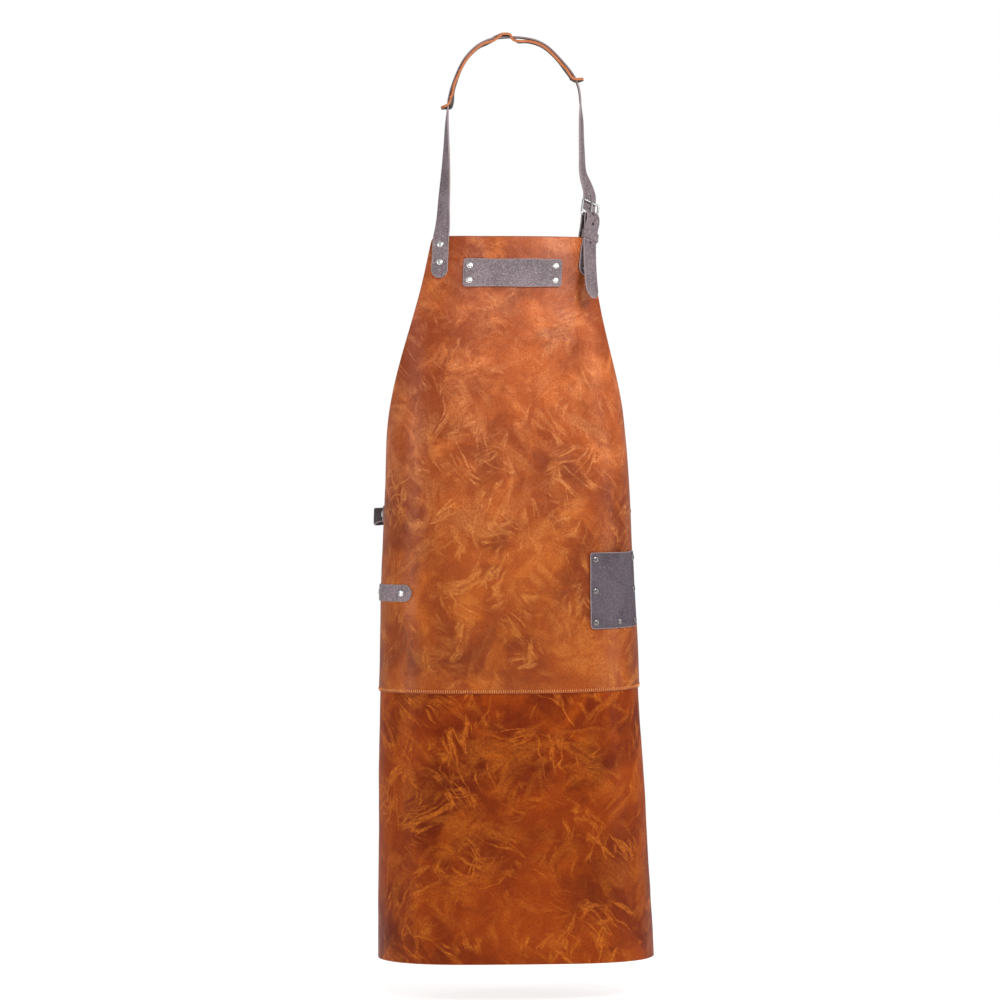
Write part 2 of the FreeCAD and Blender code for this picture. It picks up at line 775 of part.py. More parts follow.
ANCHOR_OUT = 1.9                   # centre of the short strap off the body where it is riveted
WAIST_RIVETS = (-283.0, -267.0)
WAIST_FOLD_RIVET = 122.5           # degrees round the waist
LEG_GAP = 1.5                      # half the distance between the folded legs' centres


def waist_short_route():
    """From the body's left edge round to the buckle, folded round its heel bar and back inside."""
    stations = []
    for degrees in (127.0, 121.0, 115.0):
        point, normal = ring_at(degrees, -LEG_GAP)
        stations.append((point, normal * -1.0))
    stations.append(outward_station(waist, 9.0, -3.0, True))
    stations += fold_round_heel(waist)
    stations.append(outward_station(waist, 9.0, 3.0))
    for degrees, outward, drop in (
        (115.0, 1.5, 0.0), (121.0, 1.5, 0.0), (128.0, 1.3, 0.5), (138.0, 0.3, 1.5), (150.0, 0.0, 3.5),
        (161.0, 0.0, 5.0), (170.0, 0.5, 5.0), (177.0, -1.0, 3.0),
    ):
        stations.append(ring_at(degrees, outward, drop))
    for side, outward in ((-297.0, 2.6), (-288.0, ANCHOR_OUT), (-273.0, ANCHOR_OUT), (-258.0, ANCHOR_OUT)):
        stations.append(on_body(side, size("waist_height"), outward))
    return Route(stations)


def build_waist_strap_short(route):
    return band(route, size("strap_width"), FOLD_LEATHER).cut(prong_slot(waist, -8.0, 9.0, 2.6))


WAIST_THROUGH = (
    (-60, -9.6), (-46, -6.6), (-36, -4.9), (-27, -3.9), (-18.5, -3.8), (-14, -2.9), (-9.5, 1.2), (-6, 5.2),
    (-1, 8.0), (5, 8.4), (11, 7.2), (18, 5.7), (26, 4.9), (37, 4.3), (46, 3.8),
)
WAIST_FREE_END = ((128.5, 4.6), (136.0, 3.4), (145.0, 3.0), (152.0, 3.2))
WAIST_HOLES = (130.0, 137.0, 144.0)


def waist_long_route():
    """From the body's right edge round the back and through the buckle."""
    outward = 0.5 + size("strap_thickness") / 2
    stations = [on_body(side, size("waist_height"), outward) for side in (258.0, 270.0, 283.0, 295.0)]
    stations += [ring_at(degrees) for degrees in (6.0, 18.0, 30.0, 42.0, 54.0, 66.0, 78.0)]
    stations += [waist.station(along, out) for along, out in WAIST_THROUGH]
    stations += [ring_at(degrees, outward, 1.0) for degrees, outward in WAIST_FREE_END]
    return Route(stations)


def build_waist_strap_long(route):
    strap = band(route, size("strap_width"), size("strap_thickness"))
    strap = strap.cut(prong_slot(waist, -16.5, -0.5, 2.4))
    return punched(strap, [ring_at(degrees, 3.5) for degrees in WAIST_HOLES], size("strap_hole"), 5.0)


# ---------------------------------------------------------------- the whole apron

neck = neck_buckle()
waist = waist_buckle()
strap_route = neck_strap_route(neck)
buckle_route = buckle_strap_route(neck)
loop_route = tool_loop_route()
short_route = waist_short_route()
long_route = waist_long_route()

panel, patch, strap = size("panel_thickness"), size("patch_thickness"), size("strap_thickness")
waist_at, loop_at = size("waist_height"), size("loop_height")
hole, reach = size("rivet_hole"), 14.0

badge_rivets = [on_body(side, height, PATCH_GAP + patch) for side, height in badge_spots()]
pocket_rivets = [on_body(side, height, PATCH_GAP + patch) for side, height in pocket_spots()]
strap_rivets = [strap_route.spot(hang(STRAP_SIDE, height), strap) for height in STRAP_RIVETS]
buckle_rivets = [buckle_route.spot(neck.at(along, LEG_OUT), FOLD_LEATHER) for along in BUCKLE_RIVETS]
loop_front, loop_edge = [[loop_route.spot(hang(side, loop_at, LOOP_OUT), patch)] for side in LOOP_RIVETS]
waist_left = [short_route.spot(hang(side, waist_at, ANCHOR_OUT), FOLD_LEATHER) for side in WAIST_RIVETS]
waist_right = [long_route.spot(hang(-side, waist_at, ANCHOR_OUT), strap) for side in WAIST_RIVETS]
waist_fold = [short_route.spot(ring_at(WAIST_FOLD_RIVET, LEG_GAP)[0], FOLD_LEATHER)]

body_rivets = badge_rivets + pocket_rivets + strap_rivets + buckle_rivets
body_rivets += loop_front + loop_edge + waist_left + waist_right

keep("bib_panel", punched(build_bib(), body_rivets, hole, reach))
keep("skirt_panel", build_skirt())
keep("seam_thread", build_seam_thread())
keep("badge_patch", punched(build_badge(), badge_rivets, hole, reach))
keep("pocket", punched(build_pocket(), pocket_rivets, hole, reach))
loop_band = band(loop_route, size("strap_width"), patch)
keep("tool_loop", punched(loop_band, loop_front + loop_edge, hole, reach))
keep("neck_strap", punched(build_neck_strap(neck, strap_route), strap_rivets, hole, reach))
keep("neck_pad", build_neck_pad())
keep("neck_buckle_strap", punched(build_buckle_strap(neck, buckle_route), buckle_rivets, hole, reach))
keep("waist_strap_short", punched(build_waist_strap_short(short_route), waist_left + waist_fold, hole, 7.0))
keep("waist_strap_long", punched(build_waist_strap_long(long_route), waist_right, hole, reach))

rivet_group("badge", badge_rivets, patch + panel + PATCH_GAP)
rivet_group("pocket", pocket_rivets, patch + panel + PATCH_GAP)
rivet_group("neck_strap", strap_rivets, strap + panel + STRAP_GAP)
rivet_group("neck_buckle", buckle_rivets, 2 * LEG_OUT + FOLD_LEATHER)
rivet_group("tool_loop_front", loop_front, LOOP_OUT + patch / 2 + panel)
rivet_group("tool_loop_edge", loop_edge, 2 * (LOOP_OUT + patch / 2) + panel + 0.2)
rivet_group("waist_left", waist_left, ANCHOR_OUT + FOLD_LEATHER / 2 + panel)
rivet_group("waist_right", waist_right, 0.5 + strap + panel)
rivet_group("waist_fold", waist_fold, 2 * LEG_GAP + FOLD_LEATHER)

for buckle, keeper_at in ((neck, 32.5), (waist, 30.5)):
    buckle_frame(buckle)
    buckle_prong(buckle)
    keeper(buckle, keeper_at)

doc.recompute()

# ---------------------------------------------------------------- checks, then the STEP files

for thing in doc.Objects:
    if "Invalid" in thing.State or "Error" in thing.State:
        raise RuntimeError(f"{thing.Label} failed: {thing.State}")
for part in parts:
    if part.Shape.isNull() or not part.Shape.isValid():
        raise RuntimeError(f"{part.Label} has no valid shape")

os.makedirs("parts", exist_ok=True)
for part in parts:
    part.Shape.exportStep(f"parts/{part.Label}.step")
    print(f"{part.Label}: {len(part.Shape.Solids)} solids, {part.Shape.Volume / 1000:.2f} cm3")
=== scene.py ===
import math

import bpy
import numpy as np
from mathutils import Matrix, Vector, noise
from mathutils.kdtree import KDTree


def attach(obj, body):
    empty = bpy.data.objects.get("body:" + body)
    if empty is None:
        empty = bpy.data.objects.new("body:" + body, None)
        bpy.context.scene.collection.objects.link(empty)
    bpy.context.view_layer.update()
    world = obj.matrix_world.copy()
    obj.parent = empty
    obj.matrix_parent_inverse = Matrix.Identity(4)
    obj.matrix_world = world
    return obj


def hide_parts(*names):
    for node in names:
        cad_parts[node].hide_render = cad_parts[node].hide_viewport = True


# A leather welding apron hung as it is worn: +X to the right seen from the front, +Y to the wearer's back,
# +Z up, origin where the neck strap rests. Lengths are millimetres until a mesh is made, in metres.

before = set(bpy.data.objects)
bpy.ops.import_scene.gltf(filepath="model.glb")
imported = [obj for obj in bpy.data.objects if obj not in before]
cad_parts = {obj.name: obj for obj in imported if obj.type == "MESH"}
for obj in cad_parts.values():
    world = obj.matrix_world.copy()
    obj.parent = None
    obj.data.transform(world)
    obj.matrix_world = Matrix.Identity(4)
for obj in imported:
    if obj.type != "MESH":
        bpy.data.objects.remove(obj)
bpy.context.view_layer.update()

MM = 0.001


def cosd(degrees):
    return math.cos(math.radians(degrees))


def sind(degrees):
    return math.sin(math.radians(degrees))


# ---------------- how the leather hangs, as in the CAD

TOP, CORNER, SEAM, HEM = -304.0, -679.0, -979.0, -1379.0
BIB_HALF, HIP_HALF, BIB_SHIFT, ARMHOLE_POWER = 130.0, 300.0, 9.0, 1.89
CORNER_EASE, CORNER_REACH = 5.4, 22.0
OVERLAP, PANEL, STRAP, PATCH, STRAP_WIDTH = 14.0, 2.2, 2.8, 2.0, 25.0
WRAP_TURN, WRAP_RATE, WRAP_STEP, WRAP_STEPS = 110.0, 1.7, 0.02, 80


def turned(ratio):
    """Degrees that the sheet has turned backwards this far from its centre line."""
    return WRAP_TURN * (1.0 - math.exp(-WRAP_RATE * ratio ** 3))


def wrap_profile():
    across, back, totals = 0.0, 0.0, [(0.0, 0.0)]
    for step in range(WRAP_STEPS):
        angle = turned((step + 0.5) * WRAP_STEP)
        across += cosd(angle) * WRAP_STEP
        back += sind(angle) * WRAP_STEP
        totals.append((across, back))
    return totals


WRAP = wrap_profile()


def wrapped(ratio):
    """How far across and back the sheet's section has gone, in units of its wrap length."""
    place = ratio / WRAP_STEP
    step = min(int(place), len(WRAP) - 2)
    rest = place - step
    low, high = WRAP[step], WRAP[step + 1]
    return low[0] + (high[0] - low[0]) * rest, low[1] + (high[1] - low[1]) * rest


LEAN_BACK, LEAN_START, SIDE_LIFT, BIB_SWING, HEM_SWAY, SWAY_START = 22.0, -500.0, 7.0, -9.8, 14.0, -820.0
# The wrap's length grows from top to hem; on the +X side the top of the chest is tucked in further.
WRAP_AT_TOP, WRAP_GROWTH, GROWTH_POWER, CHEST_TUCK, TUCK_REACH = 202.0, 76.0, 0.62, 28.0, 94.0


def hang(side, height, outward=0.0):
    """A point of the apron: side is the flat distance from the centre line, outward is off its face."""
    hand = 1.0 if side >= 0 else -1.0
    drop = max(0.0, (TOP - height) / (TOP - HEM) + 0.02) / 1.02
    length = WRAP_AT_TOP + WRAP_GROWTH * drop ** GROWTH_POWER
    if side > 0:
        length -= CHEST_TUCK * math.exp(-(((height - TOP) / TUCK_REACH) ** 2))
    ratio = abs(side) / length
    across, back = wrapped(ratio)
    angle = turned(ratio)
    x = hand * (across * length + outward * sind(angle))
    y = back * length - outward * cosd(angle)
    y += LEAN_BACK * (max(0.0, height - LEAN_START) / (TOP - LEAN_START)) ** 2
    x += BIB_SWING * math.exp(-(((height + 440.0) / 144.0) ** 2))
    x += HEM_SWAY * (max(0.0, SWAY_START - height) / (SWAY_START - HEM)) ** 1.2
    lift = SIDE_LIFT * (max(0.0, side) / 250.0) ** 2 * math.exp(-(((height + 950.0) / 300.0) ** 2))
    return Vector((x, y, height + lift))


def facing(side, height):
    along = hang(side + 1.0, height) - hang(side - 1.0, height)
    up = hang(side, height + 1.0) - hang(side, height - 1.0)
    return along.cross(up).normalized()


def edges_at(height):
    """Flat distances of the left and right cut edges from the centre line."""
    share = min(1.0, max(0.0, (TOP - height) / (TOP - CORNER)))
    half = BIB_HALF + (HIP_HALF - BIB_HALF) * share ** ARMHOLE_POWER
    half -= CORNER_EASE * math.exp((height - TOP) / CORNER_REACH)
    shift = BIB_SHIFT * (1.0 - share)
    return -half + shift, half + shift


def relief(side, height):
    """Gentle unevenness of hung leather, millimetres."""
    slow = noise.noise(Vector((side / 90.0, height / 130.0, 3.7)))
    quick = noise.noise(Vector((side / 34.0, height / 40.0, 9.1)))
    top = math.exp((height - TOP) / 95.0)
    folds = math.sin(side / 15.5 + 0.6) * 0.8 + math.sin(side / 9.0 + 2.0) * 0.3
    return 1.5 * slow + 0.45 * quick + 1.5 * top * folds


def panel_relief(side, height, left, right):
    """Relief that is calmer towards the cut edges at left and right."""
    near = min(1.0, min(side - left, right - side) / 30.0)
    return relief(side, height) * (0.35 + 0.65 * near)


# ---------------- meshes

def spaced(start, end, count):
    return [start + (end - start) * i / (count - 1) for i in range(count)]


def make_piece(name, verts, faces, materials, slots=None, flats=None):
    """An object from points in millimetres; flats are the leather's flat coordinates for its texture."""
    mesh = bpy.data.meshes.new(name)
    mesh.from_pydata([tuple(v * MM) for v in verts], [], faces)
    for material in materials:
        mesh.materials.append(material)
    if slots:
        mesh.polygons.foreach_set("material_index", slots)
    if flats:
        data = mesh.attributes.new("flat", "FLOAT_VECTOR", "POINT")
        data.data.foreach_set("vector", [c * MM for flat in flats for c in flat])
    mesh.polygons.foreach_set("use_smooth", [True] * len(mesh.polygons))
    mesh.update()
    piece = bpy.data.objects.new(name, mesh)
    bpy.context.scene.collection.objects.link(piece)
    return piece


RIM_TURNS, RIM_BULGE, FACE_POINTS, BACK_SEED = (22.0, 50.0, 90.0, 130.0, 158.0), 0.42, 9, 50.0


def leather_shell(name, grid, thickness, materials, seed=0.0):
    """A closed sheet: grid rows of (front point, back point, flat place); cut edges are half round."""
    rows, columns = len(grid), len(grid[0])
    verts, flats, faces, slots = [], [], [], []
    for layer in (0, 1):
        for cell in (cell for row in grid for cell in row):
            verts.append(cell[layer])
            flats.append((*cell[2], seed + layer * BACK_SEED))
    count = rows * columns
    for i in range(rows - 1):
        for j in range(columns - 1):
            a = i * columns + j
            quad = (a, a + 1, a + columns + 1, a + columns)
            faces.append(quad)
            slots.append(0)
            faces.append(tuple(count + k for k in reversed(quad)))
            slots.append(2)
    border = [(0, j) for j in range(columns)] + [(i, columns - 1) for i in range(1, rows)]
    border += [(rows - 1, j) for j in range(columns - 2, -1, -1)]
    border += [(i, 0) for i in range(rows - 2, 0, -1)]
    loops = [[i * columns + j for i, j in border]]
    ways = []
    for k, (i, j) in enumerate(border):
        before, after = border[k - 1], border[(k + 1) % len(border)]
        run = grid[after[0]][after[1]][0] - grid[before[0]][before[1]][0]
        through = grid[i][j][0] - grid[i][j][1]
        ways.append(run.cross(through).normalized())
    for turn in RIM_TURNS:
        loop = []
        for (i, j), way in zip(border, ways):
            front, back, flat = grid[i][j]
            middle = (front + back) / 2
            loop.append(len(verts))
            verts.append(middle + (front - middle) * cosd(turn) + way * (sind(turn) * thickness * RIM_BULGE))
            flats.append((*flat, seed + turn * 0.02))
        loops.append(loop)
    loops.append([count + i * columns + j for i, j in border])
    for one, two in zip(loops, loops[1:]):
        for k in range(len(one)):
            n = (k + 1) % len(one)
            faces.append((one[n], one[k], two[k], two[n]))
            slots.append(1)
    return make_piece(name, verts, faces, materials, slots, flats)


def corner_cut(distance, radius):
    """How much a rounded corner takes off a side this far from the end."""
    if distance >= radius:
        return 0.0
    return radius - math.sqrt(max(0.0, radius ** 2 - (radius - distance) ** 2))


def eased_rows(low, high, count, radii):
    """Heights from low to high with extra rows round the corners."""
    heights = spaced(low + radii[0], high - radii[1], count)
    for radius, end, way in ((radii[0], low, 1.0), (radii[1], high, -1.0)):
        if radius > 0:
            for turn in (0, 12, 25, 38, 51, 64, 77):
                heights.append(end + way * radius * (1.0 - cosd(turn)))
    return sorted(set(round(h, 5) for h in heights))


class Route:
    """A smooth line through stations, each a point and the way the strap's face looks there."""

    def __init__(self, stations, step=3.0):
        points = np.array([list(point) for point, face in stations])
        faces = np.array([list(face) for point, face in stations])
        chords = np.linalg.norm(np.diff(points, axis=0), axis=1)
        marks = np.concatenate([[0.0], np.cumsum(chords)])
        count = max(2, int(marks[-1] / step))
        places = np.unique(np.concatenate([np.linspace(0, marks[-1], count), marks]))
        bends = self.second(marks, points)
        self.points, self.normals, self.acrosses, self.lengths = [], [], [], [0.0]
        for place in places:
            i = min(max(int(np.searchsorted(marks, place, side="right")) - 1, 0), len(chords) - 1)
            h = chords[i]
            b = (place - marks[i]) / h
            a = 1.0 - b
            point = a * points[i] + b * points[i + 1]
            point = point + ((a ** 3 - a) * bends[i] + (b ** 3 - b) * bends[i + 1]) * h * h / 6.0
            slope = (points[i + 1] - points[i]) / h
            slope = slope + (-(3 * a * a - 1) * bends[i] + (3 * b * b - 1) * bends[i + 1]) * h / 6.0
            tangent = Vector(slope).normalized()
            face = Vector(a * faces[i] + b * faces[i + 1])
            normal = (face - tangent * face.dot(tangent)).normalized()
            self.points.append(Vector(point))
            self.normals.append(normal)
            self.acrosses.append(tangent.cross(normal))
        for one, two in zip(self.points, self.points[1:]):
            self.lengths.append(self.lengths[-1] + (two - one).length)
        self.total = self.lengths[-1]

    @staticmethod
    def second(marks, points):
        """Second derivatives of the natural cubic spline."""
        size = len(marks)
        gaps = np.diff(marks)
        matrix, right = np.eye(size), np.zeros((size, 3))
        for i in range(1, size - 1):
            matrix[i, i - 1:i + 2] = gaps[i - 1], 2 * (gaps[i - 1] + gaps[i]), gaps[i]
            rise = (points[i + 1] - points[i]) / gaps[i] - (points[i] - points[i - 1]) / gaps[i - 1]
            right[i] = 6.0 * rise
        return np.linalg.solve(matrix, right)

    def nearest(self, spot, from_share=0.0, to_share=1.0):
        """The station nearest to a point, with its normal, within a share of the route."""
        choices = [i for i, run in enumerate(self.lengths)
                   if from_share * self.total <= run <= to_share * self.total]
        best = min(choices, key=lambda i: (self.points[i] - spot).length)
        return self.points[best], self.normals[best]


def end_shape(run, total, tips):
    """Share of full half width this far along a strap with rounded ends."""
    share = 1.0
    for distance, tip in ((run, tips[0]), (total - run, tips[1])):
        if tip > 0 and distance < tip:
            share = min(share, math.sqrt(max(0.0, 1.0 - (1.0 - distance / tip) ** 2)))
    return share


def strap_piece(name, route, thickness, materials, tips=(0.0, 0.0), seed=0.0, width=STRAP_WIDTH):
    """A leather strip along a route with half-round edges; tips are the lengths of its rounded ends."""
    half, round_in = width / 2, thickness * 0.34
    profile = [(a, 1.0, 0) for a in spaced(-1.0, 1.0, FACE_POINTS)]
    profile += [(1.0, cosd(t), sind(t)) for t in RIM_TURNS]
    profile += [(a, -1.0, 0) for a in spaced(1.0, -1.0, FACE_POINTS)]
    profile += [(-1.0, -cosd(t), sind(t)) for t in RIM_TURNS]
    size, rim_slots, extra = len(profile), [1] * (len(RIM_TURNS) + 1), []
    for distance_from, tip in ((0.0, tips[0]), (route.total, tips[1])):
        if tip > 0:
            for turn in (3, 9, 18, 28, 40, 54, 70):
                inset = tip * (1.0 - cosd(turn))
                extra.append(abs(distance_from - inset))
    runs = sorted(set(round(r, 4) for r in list(route.lengths) + extra))
    verts, flats, faces, slots = [], [], [], []
    for run in runs:
        i = min(max(int(np.searchsorted(route.lengths, run, side="right")) - 1, 0), len(route.points) - 2)
        share = (run - route.lengths[i]) / max(1e-9, route.lengths[i + 1] - route.lengths[i])
        point = route.points[i].lerp(route.points[i + 1], share)
        normal = route.normals[i].lerp(route.normals[i + 1], share).normalized()
        across = route.acrosses[i].lerp(route.acrosses[i + 1], share).normalized()
        reach = max(0.02, end_shape(run, route.total, tips)) * half
        for a, b, out in profile:
            wide = a * max(0.01, reach - round_in)
            if out:
                wide += a * min(round_in, reach) * out
            edge = abs(a) ** 6 * 0.12 * thickness if b == 1.0 else 0.0
            verts.append(point + across * wide + normal * (b * thickness / 2 - edge))
            flats.append((wide, run, seed + (BACK_SEED if b < 0 else 0.0)))
    for k in range(len(runs) - 1):
        faces += band_faces(k * size, (k + 1) * size, size)
        slots += [0] * (FACE_POINTS - 1) + rim_slots + [2] * (FACE_POINTS - 1) + rim_slots
    faces.append(tuple(reversed(range(size))))
    faces.append(tuple((len(runs) - 1) * size + m for m in range(size)))
    slots += [1, 1]
    return make_piece(name, verts, faces, materials, slots, flats)


def circle(count):
    return [(cosd(360.0 * i / count), sind(360.0 * i / count)) for i in range(count)]


def band_faces(low, high, size):
    """Quads between two closed rings of points whose numbers start at low and high."""
    return [(low + m, low + (m + 1) % size, high + (m + 1) % size, high + m) for m in range(size)]


def lathe(profile, count=28):
    """Points and faces of a turned shape; the profile is (radius, height) from the axis to the rim."""
    verts, faces = [Vector((0, 0, profile[0][1]))], []
    for radius, height in profile[1:]:
        verts += [Vector((radius * c, radius * s, height)) for c, s in circle(count)]
    for i in range(count):
        faces.append((0, 1 + i, 1 + (i + 1) % count))
    for ring in range(len(profile) - 2):
        base = 1 + ring * count
        faces += band_faces(base + count, base, count)
    last = 1 + (len(profile) - 2) * count
    faces.append(tuple(last + i for i in range(count)))
    return verts, faces


def upright(point, normal, spin=0.0):
    """A matrix that puts local +Z along a normal at a point."""
    turn = Vector((0, 0, 1)).rotation_difference(normal).to_matrix().to_4x4()
    return Matrix.Translation(point) @ turn @ Matrix.Rotation(spin, 4, "Z")


def joined(name, shapes, materials):
    """One piece from several (points, faces) or (points, faces, matrix)."""
    verts, faces = [], []
    for points, polygons, *matrix in shapes:
        base = len(verts)
        verts += [matrix[0] @ point for point in points] if matrix else points
        faces += [tuple(base + i for i in polygon) for polygon in polygons]
    return make_piece(name, verts, faces, materials)


def tube(path, radii, count=14, closed=True, flat_z=1.0, across=Vector((0, 0, 1))):
    """Points and faces of a round bar along a path in a plane square to across."""
    verts, faces, size = [], [], len(path)
    for i, point in enumerate(path):
        after = path[(i + 1) % size] if closed or i < size - 1 else point
        before = path[i - 1] if closed or i > 0 else point
        along = (after - before).normalized()
        side = along.cross(across).normalized()
        radius = radii[i] if isinstance(radii, list) else radii
        verts += [point + side * (radius * c) + across * (radius * flat_z * s) for c, s in circle(count)]
    for i in range(size if closed else size - 1):
        faces += band_faces(i * count, (i + 1) % size * count, count)
    if not closed:
        faces.append(tuple(reversed(range(count))))
        faces.append(tuple((size - 1) * count + k for k in range(count)))
    return verts, faces


def cut_with(piece, cutter):
    """Takes the cutter's shape out of a piece; flat places come from the uncut mesh."""
    tree = KDTree(len(piece.data.vertices))
    for vertex in piece.data.vertices:
        tree.insert(vertex.co, vertex.index)
    tree.balance()
    places = [Vector(item.vector) for item in piece.data.attributes["flat"].data]
    cut = piece.modifiers.new("cut", "BOOLEAN")
    cut.operation = "DIFFERENCE"
    cut.solver = "EXACT"
    cut.object = cutter
    bpy.context.view_layer.update()
    shaped = piece.evaluated_get(bpy.context.evaluated_depsgraph_get())
    mesh = bpy.data.meshes.new_from_object(shaped)
    if "flat" in mesh.attributes:
        mesh.attributes.remove(mesh.attributes["flat"])
    data = mesh.attributes.new("flat", "FLOAT_VECTOR", "POINT")
    flats = []
    for vertex in mesh.vertices:
        flats.extend(places[tree.find(vertex.co)[1]])
    data.data.foreach_set("vector", flats)
    piece.modifiers.remove(cut)
    old = piece.data
    piece.data = mesh
    mesh.name = old.name + "_cut"
    bpy.data.meshes.remove(old)
    bpy.data.objects.remove(cutter)


# ---------------- materials

class Shader:
    """A principled material built from nodes."""

    def __init__(self, name, **sockets):
        self.material = bpy.data.materials.new(name)
        self.material.use_nodes = True
        self.tree = self.material.node_tree
        self.surface = self.tree.nodes["Principled BSDF"]
        for key, value in sockets.items():
            self.surface.inputs[key.replace("_", " ")].default_value = value

    def add(self, kind, inputs=None, **settings):
        node = self.tree.nodes.new("ShaderNode" + kind)
        for key, value in settings.items():
            setattr(node, key, value)
        for key, value in (inputs or {}).items():
            if isinstance(value, bpy.types.NodeSocket):
                self.tree.links.new(value, node.inputs[key])
            else:
                node.inputs[key].default_value = value
        return node

    def flat(self):
        return self.add("Attribute", attribute_name="flat").outputs["Vector"]

    def noise(self, vector, scale, detail=4.0, rough=0.55, distortion=0.0):
        node = self.add("TexNoise", {"Vector": vector, "Scale": scale, "Detail": detail,
                        "Roughness": rough, "Distortion": distortion})
        return node.outputs["Fac"]

    def math(self, operation, one, two=0.0):
        return self.add("Math", {0: one, 1: two}, operation=operation).outputs[0]

    def times(self, one, two):
        return self.math("MULTIPLY", one, two)

    def vector_math(self, operation, one, two):
        """Two is a vector, or a length for SCALE."""
        inputs = {0: one, "Scale" if operation == "SCALE" else 1: two}
        return self.add("VectorMath", inputs, operation=operation).outputs[0]

    def band(self, value, low, high, out_low=0.0, out_high=1.0):
        node = self.add("MapRange", {"Value": value, "From Min": low, "From Max": high,
                        "To Min": out_low, "To Max": out_high}, interpolation_type="SMOOTHSTEP")
        return node.outputs["Result"]

    def mix(self, factor, one, two, blend="MIX"):
        node = self.add("Mix", data_type="RGBA", blend_type=blend)
        for index, value in ((0, factor), (6, one), (7, two)):
            if isinstance(value, bpy.types.NodeSocket):
                self.tree.links.new(value, node.inputs[index])
            else:
                node.inputs[index].default_value = value if index == 0 else (*value[:3], 1.0)
        return node.outputs[2]

    def warp(self, vector, scale, amount):
        wobble = self.add("TexNoise", {"Vector": vector, "Scale": scale, "Detail": 2.0})
        centred = self.vector_math("SUBTRACT", wobble.outputs["Color"], (0.5, 0.5, 0.5))
        return self.vector_math("ADD", vector, self.vector_math("SCALE", centred, amount))

    def cells(self, vector, scale):
        """Distance from the middle of the nearest cell."""
        node = self.add("TexVoronoi", {"Vector": vector, "Scale": scale, "Randomness": 1.0}, feature="F1")
        return node.outputs["Distance"]

    def bump(self, height, distance, strength=1.0, under=None):
        inputs = {"Height": height, "Distance": distance, "Strength": strength}
        if under:
            inputs["Normal"] = under
        return self.add("Bump", inputs).outputs["Normal"]

    def finish(self, colour=None, rough=None, normal=None):
        for key, value in (("Base Color", colour), ("Roughness", rough), ("Normal", normal)):
            if isinstance(value, bpy.types.NodeSocket):
                self.tree.links.new(value, self.surface.inputs[key])
            elif value is not None:
                self.surface.inputs[key].default_value = value
        return self.material


def srgb(r, g, b):
    """Linear colour from 8-bit display values."""
    out = []
    for c in (r / 255, g / 255, b / 255):
        out.append(c / 12.92 if c <= 0.04045 else ((c + 0.055) / 1.055) ** 2.4)
    return tuple(out)


def strokes(shader, place, angle, long, wide, width, offset):
    """Soft strokes along one direction, tapering out, kept in scattered patches."""
    turned_place = shader.add("Mapping", {"Vector": place, "Location": (offset, offset * 0.7, 0.0),
                                          "Rotation": (0.0, 0.0, math.radians(angle))}).outputs[0]
    scale = (1.0 / long, 1.0 / wide, 1.0)
    stretched = shader.add("Mapping", {"Vector": turned_place, "Scale": scale}).outputs[0]
    field = shader.noise(stretched, 1.0, 2.5, 0.55, 0.35)
    away = shader.math("ABSOLUTE", shader.math("SUBTRACT", field, 0.5))
    line = shader.band(away, 0.0, width, 1.0, 0.0)
    patch = shader.band(shader.noise(turned_place, 1.0 / (long * 0.55), 2.0, 0.5), 0.52, 0.68)
    return shader.times(line, patch)


STROKE_ANGLES = (18.0, 52.0, 97.0, 141.0)


